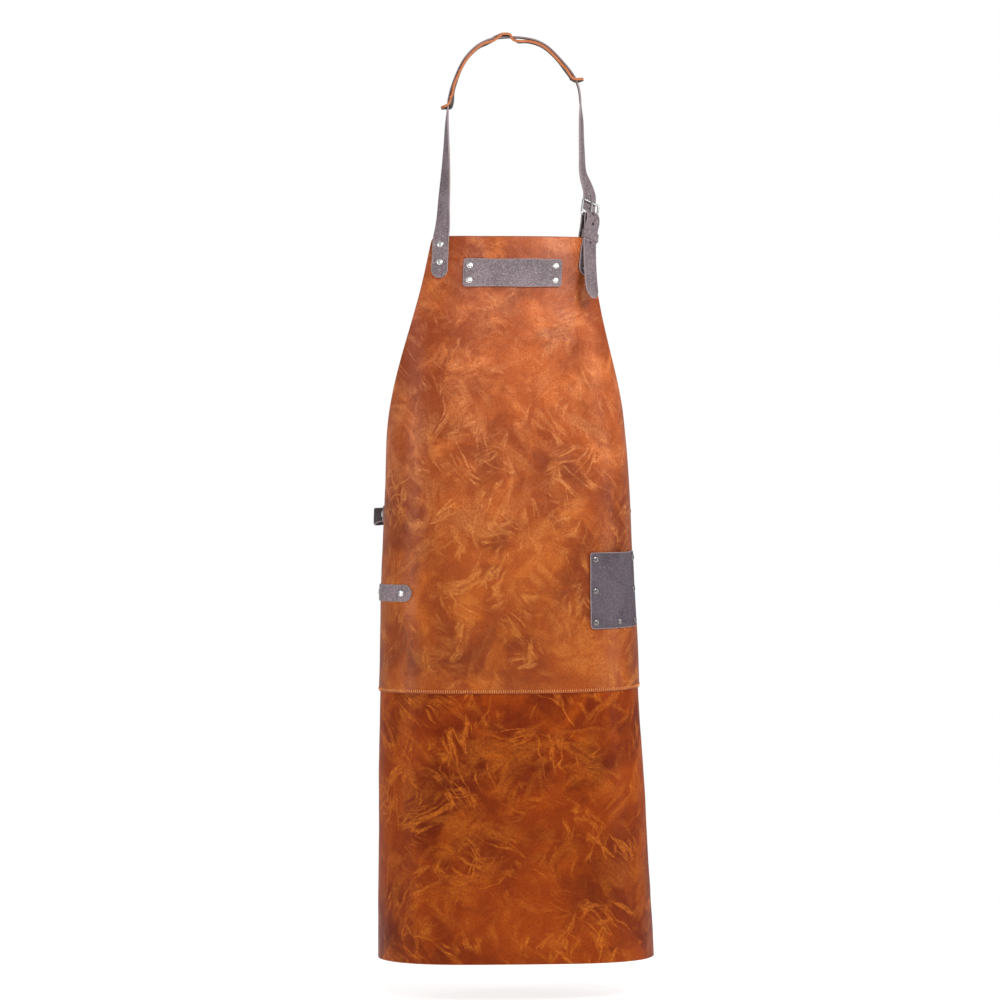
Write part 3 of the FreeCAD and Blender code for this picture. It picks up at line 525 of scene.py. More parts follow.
def pull_up_leather(name, dark, middle, light, crease, roughness, shine, seed, painted_light_by_height, height_tints_and_painted_sheen):
    """Waxed hide: clouds of tone, light feathered strokes where it was folded, fine pebble grain.

    painted_light_by_height is two heights and the brightness at each, painted light and shade: brighter
    towards the top and darker towards the lower end; height_tints_and_painted_sheen colour the hide at the
    same heights and paint a pinkish sheen on the upper chest.
    """
    s = Shader(name, Specular_IOR_Level=shine)
    flat = s.flat()
    drift = s.warp(flat, 7.0, 0.05)
    curl = s.warp(drift, 26.0, 0.016)
    clouds = s.noise(drift, 4.2, 5.0, 0.62, 0.3)
    mottle = s.noise(curl, 17.0, 5.0, 0.66, 0.5)
    colour = s.mix(s.band(clouds, 0.34, 0.62), dark, middle)
    colour = s.mix(s.times(s.band(mottle, 0.45, 0.76), 0.80), colour, light)
    shade = s.band(s.noise(curl, 9.0, 5.0, 0.62, 0.6), 0.48, 0.72)
    colour = s.mix(s.times(shade, 0.70), colour, tuple(c * 0.72 for c in dark))
    bend = s.warp(s.warp(flat, 11.0, 0.045), 45.0, 0.008)
    soft = None
    for number, angle in enumerate(STROKE_ANGLES):
        broad = strokes(s, bend, angle, 0.17, 0.040, 0.085, seed + number * 3.1)
        thin = strokes(s, bend, angle + 19.0, 0.11, 0.022, 0.055, seed + number * 5.7)
        both = s.math("MAXIMUM", s.times(broad, 0.55), thin)
        soft = both if soft is None else s.math("MAXIMUM", soft, both)
    fibres = s.band(s.noise(flat, 230.0, 3.0, 0.65), 0.28, 0.72, 0.30, 1.0)
    soft = s.times(soft, fibres)
    height = s.add("SeparateXYZ", {"Vector": flat}).outputs["Y"]
    chest_fade = s.band(height, -0.72, -0.44, 1.0, 0.45)
    soft = s.times(soft, chest_fade)
    colour = s.mix(s.times(soft, 0.72), colour, crease)
    speck_and_painted_light = s.band(s.noise(flat, 520.0, 3.0, 0.7), 0.30, 0.70, 0.78, 1.17)
    # Painted light and shade: the specks are multiplied by a brightness by height, brighter towards the top
    # of each panel and darker towards its lower end.
    speck_and_painted_light = s.times(speck_and_painted_light, s.band(height, *painted_light_by_height))
    speckle_and_painted_light = s.add("CombineColor", {0: speck_and_painted_light, 1: speck_and_painted_light, 2: speck_and_painted_light}).outputs[0]
    colour = s.mix(1.0, colour, speckle_and_painted_light, "MULTIPLY")
    # Painted sheen: a pinkish tint by height on the upper chest; on the lower panel the tint is an even warm
    # one.
    colour = s.mix(1.0, colour, s.mix(s.band(height, *painted_light_by_height[:2]), *height_tints_and_painted_sheen), "MULTIPLY")
    grain = s.cells(s.warp(flat, 300.0, 0.0012), 560.0)
    colour = s.mix(s.band(grain, 0.45, 0.95, 0.0, 0.35), colour, tuple(c * 0.8 for c in dark))
    rough = s.band(mottle, 0.3, 0.75, roughness + 0.05, roughness - 0.05)
    rough = s.math("ADD", rough, s.times(soft, 0.07))
    normal = s.bump(s.noise(drift, 8.0, 3.0, 0.5), 0.0070, 0.55)
    normal = s.bump(s.noise(curl, 38.0, 4.0, 0.55), 0.0024, 0.6, normal)
    normal = s.bump(soft, 0.0004, 0.5, normal)
    normal = s.bump(grain, 0.00022, 0.6, normal)
    return s.finish(colour, rough, normal)


def trim_leather(name, base, light, dark, roughness=0.52):
    """Grey strap leather: pebbled, scuffed paler on its high spots."""
    s = Shader(name, Specular_IOR_Level=0.4)
    flat = s.flat()
    clouds = s.noise(flat, 30.0, 4.0, 0.6)
    scuff = s.noise(s.warp(flat, 60.0, 0.006), 330.0, 4.0, 0.7)
    colour = s.mix(s.band(clouds, 0.25, 0.75, 0.35, 1.0), dark, base)
    colour = s.mix(s.times(s.band(scuff, 0.46, 0.70), 0.60), colour, light)
    pores = s.cells(s.warp(flat, 400.0, 0.0008), 640.0)
    colour = s.mix(s.band(pores, 0.45, 0.85, 0.0, 0.55), colour, dark)
    rough = s.band(scuff, 0.35, 0.7, roughness - 0.07, roughness + 0.08)
    normal = s.bump(clouds, 0.0010, 0.4)
    normal = s.bump(scuff, 0.0004, 0.5, normal)
    normal = s.bump(pores, 0.00040, 0.8, normal)
    return s.finish(colour, rough, normal)


def cut_edge(name, base, dark):
    """The raw fibrous edge of cut leather."""
    s = Shader(name, Specular_IOR_Level=0.25)
    flat = s.flat()
    fibre = s.noise(flat, 950.0, 4.0, 0.7)
    patch = s.noise(flat, 60.0, 3.0)
    colour = s.mix(s.band(fibre, 0.32, 0.72), dark, base)
    colour = s.mix(s.band(patch, 0.35, 0.75, 0.0, 0.35), colour, dark)
    return s.finish(colour, 0.78, s.bump(fibre, 0.0002, 0.6))


def flesh_side(name, base, dark):
    """The napped inside of a hide: loose fibres, a few veins and cloudy staining."""
    s = Shader(name, Specular_IOR_Level=0.2, Sheen_Weight=0.15, Sheen_Roughness=0.6)
    flat = s.flat()
    fibres = s.noise(s.warp(flat, 60.0, 0.012), 380.0, 5.0, 0.75)
    clouds = s.noise(s.warp(flat, 20.0, 0.02), 26.0, 5.0, 0.68, 0.5)
    veins = strokes(s, s.warp(flat, 14.0, 0.05), 35.0, 0.20, 0.05, 0.03, 5.0)
    colour = s.mix(s.band(clouds, 0.30, 0.70, 0.15, 0.85), dark, base)
    colour = s.mix(s.times(veins, 0.35), colour, dark)
    colour = s.mix(s.band(fibres, 0.35, 0.68, 0.0, 0.55), colour, tuple(c * 0.72 for c in dark))
    normal = s.bump(clouds, 0.0012, 0.4)
    return s.finish(colour, 0.88, s.bump(fibres, 0.0006, 0.8, normal))


def nickel(name, base, roughness):
    """Plated metal with faint wear and fingerprints."""
    s = Shader(name, Metallic=1.0)
    place = s.add("TexCoord").outputs["Object"]
    wear = s.noise(place, 260.0, 4.0, 0.6)
    brushed = s.add("Mapping", {"Vector": place, "Scale": (1.0, 1.0, 6.0)}).outputs[0]
    scratch = s.noise(brushed, 900.0, 3.0)
    colour = s.mix(s.band(wear, 0.4, 0.75), base, tuple(c * 0.8 for c in base))
    rough = s.band(wear, 0.3, 0.7, roughness - 0.05, roughness + 0.12)
    return s.finish(colour, rough, s.bump(scratch, 0.00006, 0.4))


def twisted_thread(name, base, dark):
    s = Shader(name, Specular_IOR_Level=0.3, Sheen_Weight=0.2)
    twist = s.noise(s.add("TexCoord").outputs["Object"], 1600.0, 2.0)
    return s.finish(s.mix(s.band(twist, 0.3, 0.7), dark, base), 0.7, s.bump(twist, 0.0002, 0.6))


# Painted light and sheen: the upper panel is painted brighter and pinker towards the top of the chest, the
# lower panel darker towards the hem.
UPPER = pull_up_leather("upper_leather", srgb(128, 49, 12), srgb(174, 80, 26), srgb(206, 110, 46),
                        srgb(232, 146, 76), 0.37, 0.22, 11.0, (-0.90, -0.42, 0.83, 1.36),
                        ((0.99, 0.97, 0.70), (0.99, 1.13, 1.75)))
LOWER = pull_up_leather("lower_leather", srgb(100, 31, 4), srgb(143, 56, 9), srgb(160, 70, 14),
                        srgb(208, 116, 38), 0.42, 0.08, 47.0, (-1.20, -0.98, 0.96, 1.12),
                        ((1.0, 0.99, 0.85), (1.0, 0.97, 0.85)))
BODY_EDGE = cut_edge("body_cut_edge", srgb(176, 104, 66), srgb(120, 62, 36))
BODY_FLESH = flesh_side("body_flesh", srgb(164, 108, 74), srgb(128, 78, 50))
GREY = trim_leather("grey_leather", srgb(141, 124, 129), srgb(190, 174, 178), srgb(72, 59, 63))
DARK_GREY = trim_leather("dark_grey_leather", srgb(90, 77, 86), srgb(122, 107, 116), srgb(54, 45, 51))
# A darker copy of the grey leather for the waist straps: painted shade.
PAINTED_SHADE_GREY = trim_leather("painted_shade_grey_leather", srgb(72, 60, 62), srgb(98, 86, 88), srgb(44, 36, 38))
GREY_EDGE = cut_edge("grey_cut_edge", srgb(174, 157, 157), srgb(148, 133, 134))
GREY_FLESH = flesh_side("grey_flesh", srgb(84, 72, 74), srgb(54, 46, 48))
PAD_TAN = trim_leather("pad_leather", srgb(190, 112, 66), srgb(214, 140, 92), srgb(150, 84, 46))
PAD_EDGE = cut_edge("pad_cut_edge", srgb(214, 134, 90), srgb(186, 108, 68))
# The pad's flesh side is painted near black: painted shade on the pad's underside.
PAD_FLESH_PAINTED_SHADE = flesh_side("pad_flesh_painted_shade", srgb(50, 36, 30), srgb(26, 20, 18))
NICKEL = nickel("rivet_nickel", (0.84, 0.82, 0.80), 0.30)
# A darker copy of the rivet nickel for the pocket's rivets: painted shade.
PAINTED_SHADE_NICKEL = nickel("pocket_rivet_painted_shade_nickel", (0.24, 0.22, 0.22), 0.30)
BUCKLE = nickel("buckle_nickel", (0.62, 0.61, 0.60), 0.3)
THREAD = twisted_thread("seam_thread", srgb(236, 164, 100), srgb(196, 116, 62))

BODY_SET = [UPPER, BODY_EDGE, BODY_FLESH]
SKIRT_SET = [LOWER, BODY_EDGE, BODY_FLESH]
GREY_SET = [GREY, GREY_EDGE, GREY_FLESH]
DARK_SET = [DARK_GREY, GREY_EDGE, GREY_FLESH]
PAINTED_SHADE_SET = [PAINTED_SHADE_GREY, GREY_EDGE, GREY_FLESH]
PAD_SET = [PAD_TAN, PAD_EDGE, PAD_FLESH_PAINTED_SHADE]


def settle(piece, body, slot, *nodes):
    """Rides a body and stands for CAD nodes; slot is not used."""
    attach(piece, body)
    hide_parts(*nodes)


# ---------------- body panels

PANEL_COLUMNS, BIB_CORNER, SKIRT_CORNER, SEAM_GAP = 150, 7.0, 11.0, 0.15


def body_grid(heights, outer, ease):
    """Rows of a body panel whose face is at outer; ease takes its rounded corners off."""
    grid = []
    for height in heights:
        left, right = edges_at(height)
        take = ease(height)
        left, right = left + take, right - take
        row = []
        for side in spaced(left, right, PANEL_COLUMNS):
            level = outer + panel_relief(side, height, left, right)
            row.append((hang(side, height, level), hang(side, height, level - PANEL), (side, height)))
        grid.append(row)
    return grid


def flat_area(low, high):
    """Square metres of body leather between two heights."""
    steps, total = 200, 0.0
    for i in range(steps):
        left, right = edges_at(low + (high - low) * (i + 0.5) / steps)
        total += (right - left) * (high - low) / steps
    return total * MM * MM


def build_bib():
    heights = eased_rows(SEAM, TOP, 150, (0.0, BIB_CORNER))
    grid = body_grid(heights, 0.0, lambda height: corner_cut(TOP - height, BIB_CORNER))
    bib = leather_shell("bib_panel_leather", grid, PANEL, BODY_SET)
    settle(bib, "apron", "upper_leather", "bib_panel")
    flat_area(SEAM, TOP)


def build_skirt():
    heights = eased_rows(HEM, SEAM + OVERLAP, 95, (SKIRT_CORNER, 0.0))
    grid = body_grid(heights, -PANEL - SEAM_GAP, lambda height: corner_cut(height - HEM, SKIRT_CORNER))
    skirt = leather_shell("skirt_panel_leather", grid, PANEL, SKIRT_SET, seed=700.0)
    settle(skirt, "apron", "lower_leather", "skirt_panel")
    flat_area(HEM, SEAM + OVERLAP)


STITCH_PITCH, STITCH_LOW, STITCH_HIGH, STITCH_RADIUS, STITCH_INSET = 3.3, 0.9, 4.5, 0.50, 4.0


def build_stitches():
    """Whipped thread along the seam: short bars square to the bib's lower edge, and the same behind."""
    shapes = []
    left, right = edges_at(SEAM + STITCH_LOW)
    count = int((right - left - 2 * STITCH_INSET) / STITCH_PITCH)
    for face, level in ((1.0, SEAM_GAP), (-1.0, -2 * PANEL - 2 * SEAM_GAP)):
        for i in range(count):
            side = left + STITCH_INSET + i * STITCH_PITCH
            bump = panel_relief(side, SEAM + STITCH_LOW, left, right)
            lean = 0.35 + 0.25 * math.sin(i * 2.4)
            start = hang(side, SEAM + STITCH_LOW, level + bump)
            end = hang(side + lean, SEAM + STITCH_HIGH, level + bump)
            out = facing(side, SEAM) * face
            along = (end - start).normalized()
            path, radii = [], []
            for step in range(6):
                hump = math.sin(math.pi * step / 5)
                path.append(start + (end - start) * (step / 5) + out * (0.55 * hump - 0.3))
                radii.append(STITCH_RADIUS * (0.6 + 0.4 * hump ** 0.5))
            shapes.append(tube(path, radii, 7, False, across=out.cross(along).normalized()))
    settle(joined("seam_stitches", shapes, [THREAD]), "apron", "thread", "seam_thread")


# ---------------- rivets

CAP_PROFILE = ((0.0, 2.0), (1.2, 1.97), (2.3, 1.86), (3.2, 1.64), (3.9, 1.34), (4.4, 1.0), (4.72, 0.68),
               (4.92, 0.40), (4.98, 0.20), (4.92, 0.04), (4.7, -0.02))
RIVET_GAP, RIVET_LEAN = 0.2, 1.5


def rivet_caps(group, spots, metal=NICKEL):
    """Domed caps a hair off the leather, each leaning a little its own way."""
    shapes, lean = [], Matrix.Rotation(math.radians(RIVET_LEAN), 4, "X")
    for number, (point, normal) in enumerate(spots):
        place = upright(point + normal * RIVET_GAP, normal, number * 1.3)
        shapes.append((*lathe(CAP_PROFILE), place @ lean))
    settle(joined(f"{group}_domed_caps", shapes, [metal]), "apron", "rivet_metal", f"{group}_rivet_caps")


def strap_rivets(group, route, thickness, spots, from_share, to_share):
    """Domed caps on a strap's outer face, at the stations nearest to some points."""
    places = []
    for spot in spots:
        point, face = route.nearest(spot, from_share, to_share)
        places.append((point + face * (thickness / 2), face))
    rivet_caps(group, places)


def on_body(side, height, outward):
    return hang(side, height, outward), facing(side, height)


# ---------------- badge and pocket

PATCH_GAP = 0.4
BADGE = {"middle": (6.0, -358.0), "width": 145.0, "height": 40.0, "corner": 4.0, "inset": (8.6, 9.0)}


def badge_level(side, height):
    return PATCH_GAP + 0.5 * relief(side, height) + 0.9


def build_badge():
    middle_side, middle_height = BADGE["middle"]
    low, high = middle_height - BADGE["height"] / 2, middle_height + BADGE["height"] / 2
    grid = []
    for height in eased_rows(low, high, 16, (BADGE["corner"], BADGE["corner"])):
        take = corner_cut(min(height - low, high - height), BADGE["corner"])
        half = BADGE["width"] / 2 - take
        row = []
        for offset in spaced(-half, half, 50):
            side = middle_side + offset
            waved = height + 0.25 * math.sin(offset / 14.0) * ((height - middle_height) / 20.0)
            level = badge_level(side, height)
            row.append((hang(side, waved, level + PATCH), hang(side, waved, level), (offset, height)))
        grid.append(row)
    badge = leather_shell("badge_leather", grid, PATCH, GREY_SET, seed=300.0)
    settle(badge, "apron", "trim_leather", "badge_patch")
    spots = []
    for a in (-1, 1):
        for b in (-1, 1):
            side = middle_side + a * (BADGE["width"] / 2 - BADGE["inset"][0])
            height = middle_height + b * (BADGE["height"] / 2 - BADGE["inset"][1])
            spots.append(on_body(side, height, badge_level(side, height) + PATCH))
    rivet_caps("badge", spots)


POCKET = {"left": 115.0, "width": 100.0, "height": 112.0, "top": -774.0, "bow": 11.0, "inset": 7.5,
          "corner": 5.0, "top_corner": 2.0}


def pocket_level(side, height):
    return PATCH_GAP + 0.8 * relief(side, height) + 0.6


def pocket_lift(side, height):
    """How far the pocket's mouth stands off the body, none at its riveted sides and bottom."""
    half = POCKET["width"] / 2
    across = min(1.0, abs(side - POCKET["left"] - half) / (half - 1.8 * POCKET["inset"]))
    low = POCKET["top"] - POCKET["height"] + 2.2 * POCKET["inset"]
    up = max(0.0, height - low) / (POCKET["top"] - low)
    return POCKET["bow"] * (1 - across ** 2) ** 2 * up ** 2 * (3 - 2 * up)


def build_pocket():
    low, high = POCKET["top"] - POCKET["height"], POCKET["top"]
    grid = []
    for height in eased_rows(low, high, 34, (POCKET["corner"], POCKET["top_corner"])):
        take = corner_cut(height - low, POCKET["corner"]) + corner_cut(high - height, POCKET["top_corner"])
        row = []
        for side in spaced(POCKET["left"] + take, POCKET["left"] + POCKET["width"] - take, 46):
            level = pocket_level(side, height) + pocket_lift(side, height)
            row.append((hang(side, height, level + PATCH), hang(side, height, level), (side, height)))
        grid.append(row)
    pocket = leather_shell("pocket_leather", grid, PATCH, DARK_SET, seed=410.0)
    settle(pocket, "apron", "trim_leather", "pocket")
    left, right = POCKET["left"] + POCKET["inset"], POCKET["left"] + POCKET["width"] - POCKET["inset"]
    top, bottom = high - POCKET["inset"] - 1.5, low + POCKET["inset"] + 1.5
    places = [(side, height) for side in (left, right) for height in (bottom, (top + bottom) / 2, top)]
    places.append(((left + right) / 2, bottom))
    spots = [on_body(side, height, pocket_level(side, height) + PATCH) for side, height in places]
    # The pocket's rivets take the darker nickel, painted shade.
    rivet_caps("pocket", spots, PAINTED_SHADE_NICKEL)


# ---------------- tool loop

LOOP_OUT, LOOP_TIP, LOOP_HEIGHT = 1.35, -154.0, -832.0
LOOP_EYE = ((4, 3.0), (14, 6.0), (24, 6.2), (30.5, 3.0))
LOOP_RIVETS = (-172.0, -278.0)


def build_tool_loop():
    edge = edges_at(LOOP_HEIGHT)[0]
    stations = [on_body(side, LOOP_HEIGHT, LOOP_OUT + 0.5) for side in spaced(LOOP_TIP, edge + 8, 11)]
    root, normal = hang(edge, LOOP_HEIGHT), facing(edge, LOOP_HEIGHT)
    beyond = (hang(edge, LOOP_HEIGHT) - hang(edge + 1, LOOP_HEIGHT)).normalized()
    middle = -PANEL / 2
    for out, rise in LOOP_EYE:
        stations.append((root + beyond * out + normal * rise, normal))
    stations.append((root + beyond * 33.0 + normal * middle, beyond))
    for out, rise in reversed(LOOP_EYE):
        stations.append((root + beyond * out + normal * (2 * middle - rise), -normal))
    inner = -PANEL - LOOP_OUT - 0.1
    for side in (edge + 8, edge + 18, edge + 30):
        point, face = on_body(side, LOOP_HEIGHT, inner)
        stations.append((point, -face))
    route = Route(stations)
    loop = strap_piece("tool_loop_strap", route, PATCH, GREY_SET, (STRAP_WIDTH / 2, 5.0), 520.0)
    settle(loop, "apron", "trim_leather", "tool_loop")
    for group, side in zip(("tool_loop_front", "tool_loop_edge"), LOOP_RIVETS):
        strap_rivets(group, route, PATCH, [hang(side, LOOP_HEIGHT, LOOP_OUT)], 0.0, 0.6)


# ---------------- buckles

class Buckle:
    """The frame of a buckle's heel bar: across it, along its strap to the anchor, and outward."""

    def __init__(self, name, heel, along, outward):
        self.name, self.heel = name, heel
        self.along = along.normalized()
        self.outward = (outward - self.along * outward.dot(self.along)).normalized()
        self.across = self.along.cross(self.outward)

    def at(self, along, outward, across=0.0):
        return self.heel + self.along * along + self.outward * outward + self.across * across

    def station(self, along, outward, inward=False):
        return self.at(along, outward), self.outward * (-1.0 if inward else 1.0)

    def fold(self, radius):
        """Stations of a strap's half turn round the heel bar, from the inner leg to the outer one."""
        ways = [self.outward * -cosd(angle) - self.along * sind(angle) for angle in spaced(0.0, 180.0, 9)]
        return [(self.heel + way * radius, way) for way in ways]


# Two places on the bib under the buckle strap, how far above their middle the heel bar is, and how deep.
BUCKLE_STRAP_LOW, BUCKLE_STRAP_HIGH, HEEL_RISE, HEEL_DEPTH = (115.0, TOP - 58), (124.5, TOP - 4), 68.0, 0.95


def neck_buckle():
    low, high = BUCKLE_STRAP_LOW, BUCKLE_STRAP_HIGH
    along = hang(*low, -PANEL / 2) - hang(*high, -PANEL / 2)
    side, height = (low[0] + high[0]) / 2, (low[1] + high[1]) / 2
    buckle = Buckle("neck", hang(side, height, -PANEL / 2), along, facing(side, height))
    buckle.heel = buckle.at(-HEEL_RISE, -HEEL_DEPTH)
    return buckle


WAIST, WAIST_BUCKLE_ANGLE = -715.0, 108.0
RING_MIDDLE, RING_WIDE, RING_DEEP = Vector((-6.0, 165.0, 0.0)), 191.0, 100.0


def ring_at(degrees, outward=0.0, drop=0.0):
    """A place on the strap's oval round the waist, and its normal."""
    cosine, sine = cosd(degrees), sind(degrees)
    normal = Vector((cosine / RING_WIDE, sine / RING_DEEP, 0)).normalized()
    point = RING_MIDDLE + Vector((RING_WIDE * cosine, RING_DEEP * sine, WAIST - drop))
    return point + normal * outward, normal


def waist_buckle():
    point, normal = ring_at(WAIST_BUCKLE_ANGLE)
    along = Vector((-RING_WIDE * sind(WAIST_BUCKLE_ANGLE), RING_DEEP * cosd(WAIST_BUCKLE_ANGLE), 0))
    return Buckle("waist", point, along, normal)


REACH, INSIDE, BAR, RING_CORNER, EYE_RADIUS, EYE_WIRE, EYE_WIDEN = 25.0, 28.0, 1.7, 3.2, 2.75, 0.8, 1.9
TONGUE = ((0.5, 2.7, 1.1), (-2, 3.0, 1.3), (-6, 3.2, 1.35), (-12, 3.3, 1.3), (-18, 3.25, 1.25),
          (-24, 3.1, 1.15), (-27, 3.0, 1.0), (-28.1, 2.95, 0.7), (-28.5, 2.9, 0.25))


def rounded_ring(half_a, half_b, radius, steps=7):
    """Points round a rounded rectangle, anticlockwise."""
    points = []
    for a, b, start in ((1, 1, 0.0), (-1, 1, 90.0), (-1, -1, 180.0), (1, -1, 270.0)):
        for turn in spaced(start, start + 90.0, steps):
            points.append((a * (half_a - radius) + radius * cosd(turn),
                           b * (half_b - radius) + radius * sind(turn)))
    return points


def build_buckle(buckle):
    """A cast ring frame, and a tongue whose eye turns on the heel bar."""
    half_a, half_b = INSIDE / 2 + BAR, REACH / 2
    path = [buckle.at(-half_b + b, 0.0, a) for a, b in rounded_ring(half_a, half_b, RING_CORNER)]
    bar = tube(path, BAR, 16, True, across=buckle.outward)
    ring = joined(f"{buckle.name}_buckle_ring", [bar], [BUCKLE])
    settle(ring, f"{buckle.name}_buckle", "buckle_metal", f"{buckle.name}_buckle_frame")
    eye_path = [buckle.at(EYE_RADIUS * c, EYE_RADIUS * s) for c, s in circle(20)]
    eye = tube(eye_path, EYE_WIRE, 10, True, flat_z=EYE_WIDEN, across=buckle.across)
    tongue_path = [buckle.at(along, out) for along, out, radius in TONGUE]
    tongue = tube(tongue_path, [radius for along, out, radius in TONGUE], 12, False, across=buckle.across)
    prong = joined(f"{buckle.name}_buckle_tongue", [eye, tongue], [BUCKLE])
    settle(prong, f"{buckle.name}_prong", "buckle_metal", f"{buckle.name}_buckle_prong")


KEEPER_WALL, KEEPER_HEIGHT, KEEPER_ROOM, KEEPER_CORNER, KEEPER_SEED = 1.5, 13.0, 0.6, 1.9, 640.0


def build_keeper(buckle, along, low, high):
    """A closed band of leather round the strap."""
    wall, height = KEEPER_WALL, KEEPER_HEIGHT
    half_a, half_b = STRAP_WIDTH / 2 + KEEPER_ROOM + wall / 2, (high - low) / 2 + wall / 2
    middle = buckle.at(0.0, (low + high) / 2)
    outline = rounded_ring(half_a, half_b, KEEPER_CORNER, 6)
    ring = [middle + buckle.outward * b + buckle.across * a for a, b in outline]
    verts, faces, slots, flats = [], [], [], []
    profile = [(w, 1.0) for w in spaced(-1.0, 1.0, 7)]
    profile += [(1.0 + 0.07 * sind(t), cosd(t)) for t in (35, 90, 145)]
    profile += [(w, -1.0) for w in spaced(1.0, -1.0, 7)]
    profile += [(-1.0 - 0.07 * sind(t), -cosd(t)) for t in (35, 90, 145)]
    size, run = len(profile), 0.0
    for i, point in enumerate(ring):
        tangent = (ring[(i + 1) % len(ring)] - ring[i - 1]).normalized()
        out = tangent.cross(buckle.along).normalized()
        if out.dot(point - middle) < 0:
            out = -out
        run += (point - ring[i - 1]).length if i else 0.0
        for w, face in profile:
            verts.append(point + buckle.along * (along + w * (height / 2 - 0.5)) + out * (face * wall / 2))
            flats.append((w * height / 2, run, KEEPER_SEED + (BACK_SEED if face < 0 else 0.0)))
    for i in range(len(ring)):
        faces += band_faces((i + 1) % len(ring) * size, i * size, size)
        slots += [0] * 6 + [1] * 4 + [2] * 6 + [1] * 4
    band = make_piece(f"{buckle.name}_keeper_band_leather", verts, faces, GREY_SET, slots, flats)
    settle(band, f"{buckle.name}_keeper_band", "trim_leather", f"{buckle.name}_keeper")


def prism(verts):
    """Points and faces of a closed shape between a lower and an upper ring of points."""
    size = len(verts) // 2
    caps = [tuple(reversed(range(size))), tuple(range(size, 2 * size))]
    return verts, caps + band_faces(0, size, size)


def tongue_slot(buckle, start, end, half, reach=12.0):
    """A cutter for the slot a tongue stands in, round at its ends."""
    outline = rounded_ring(half, (end - start) / 2, half * 0.95, 6)
    middle = (start + end) / 2
    return prism([buckle.at(middle + b, level, a) for level in (-reach, reach) for a, b in outline])


def hole_punch(point, normal, radius=2.0, reach=5.0):
    """A cutter for an adjusting hole."""
    turn = upright(point, normal)
    return prism([turn @ Vector((radius * c, radius * s, level)) for level in (-reach, reach)
                  for c, s in circle(16)])


# ---------------- neck strap, buckle strap and pad

FOLD_RADIUS, FOLD_LEATHER, LEG_OUT, LEG_END = 3.7, 2.4, 4.3, 96.0
OUTER_LEG = ((7, 3.9), (12, 4.8), (17, 5.4), (30, 5.4), (46, 5.4), (52, 4.9), (58, 4.4), (70, LEG_OUT),
             (LEG_END, LEG_OUT))
ROUND_ENDS, LONG_STRAP_ENDS = (STRAP_WIDTH / 2, STRAP_WIDTH / 2), (STRAP_WIDTH / 2, 20.0)
BUCKLE_STRAP_RIVETS = (67.0, 85.0)


def build_neck_buckle_strap(buckle):
    stations = [buckle.station(along, -LEG_OUT, True) for along in (LEG_END, 60, 30)]
    stations.append(buckle.station(8, -FOLD_RADIUS, True))
    stations += buckle.fold(FOLD_RADIUS)
    stations += [buckle.station(along, out) for along, out in OUTER_LEG]
    route = Route(stations, 2.0)
    strap = strap_piece("neck_buckle_leather", route, FOLD_LEATHER, GREY_SET, ROUND_ENDS, 560.0)
    cut_with(strap, joined("cutter", [tongue_slot(buckle, -8.0, 7.0, 2.6)], []))
    settle(strap, "apron", "trim_leather", "neck_buckle_strap")
    spots = [buckle.at(along, LEG_OUT) for along in BUCKLE_STRAP_RIVETS]
    strap_rivets("neck_buckle", route, FOLD_LEATHER, spots, 0.5, 1.0)


ARCH = (
    (-104.0, 31, -293), (-101.3, 42, -263), (-99.1, 48, -233), (-96.7, 56, -195), (-95.1, 66, -157),
    (-93.7, 74, -124), (-91.1, 80, -101), (-87.2, 84, -82.5), (-82.2, 88, -67), (-75.3, 92, -49.5),
    (-66.9, 95, -34.4), (-56.9, 98, -22.1), (-45.3, 100, -12.2), (-32.5, 102, -5.4), (-19.5, 104, -1.6),
    (-5.9, 105, 0.0), (8.4, 105, 0.5), (25.7, 104, -0.9), (42.1, 102, -4.6), (58.9, 100, -13.4),
    (75.6, 96, -29.8), (88.5, 92, -45.6), (99.1, 90, -61), (105.4, 90, -78), (107.7, 89, -97),
    (108.6, 87, -124), (108.9, 84, -157), (109.4, 81, -185), (111.2, 78.5, -208),
)
LEFT_TWIST = ((-304, 25), (-263, 48), (-233, 56), (-195, 68), (-157, 80), (-124, 88))
RIGHT_TWIST = ((-240, 50), (-208, 61), (-188, 66), (-157, 70), (-124, 73))
ARCH_CENTRE = Vector((6.0, 0.0, -110.0))


def between(table, height):
    """The value of a table of (height, value) at a height."""
    rows = sorted(table)
    for (low, a), (high, b) in zip(rows, rows[1:]):
        if height <= high:
            return a + (b - a) * max(0.0, (height - low) / (high - low))
    return rows[-1][1]


def away_from_neck(x, z):
    """Which way the strap's outer face looks, tipped a little so that its width is seen edge on."""
    away = Vector((x - ARCH_CENTRE.x, 0, z - ARCH_CENTRE.z)).normalized()
    lean = 0.14 if away.x < 0 else 0.055
    return Vector((away.x, -lean * away.x - 0.07 * away.z, away.z)).normalized()


def arch_station(x, y, z):
    if z > -110:
        return Vector((x, y, z)), away_from_neck(x, z)
    hand = 1.0 if x > 0 else -1.0
    angle = between(RIGHT_TWIST if x > 0 else LEFT_TWIST, z)
    return Vector((x, y, z)), Vector((hand * sind(angle), -cosd(angle), 0))


STRAP_SIDE, STRAP_END, STRAP_GAP = -102.0, -366.0, 0.8
STRAP_RIVETS = (-317.0, -343.0)
THROUGH_BUCKLE = (
    (-37, -4.7), (-27, -3.9), (-18.5, -3.8), (-14, -2.9), (-9.5, 1.2), (-6, 5.2), (-1, 8.2),
    (5, 9.9), (11, 10.1), (17, 8.9), (23, 8.35), (34, 8.35), (46, 8.4), (56, 9.8), (66, 11.5), (80, 14.2),
    (96, 17.8), (112, 21.8), (127, 26.0), (140, 30.0),
)
STRAP_HOLES = (-150.0, -178.0, -208.0, -236.0)


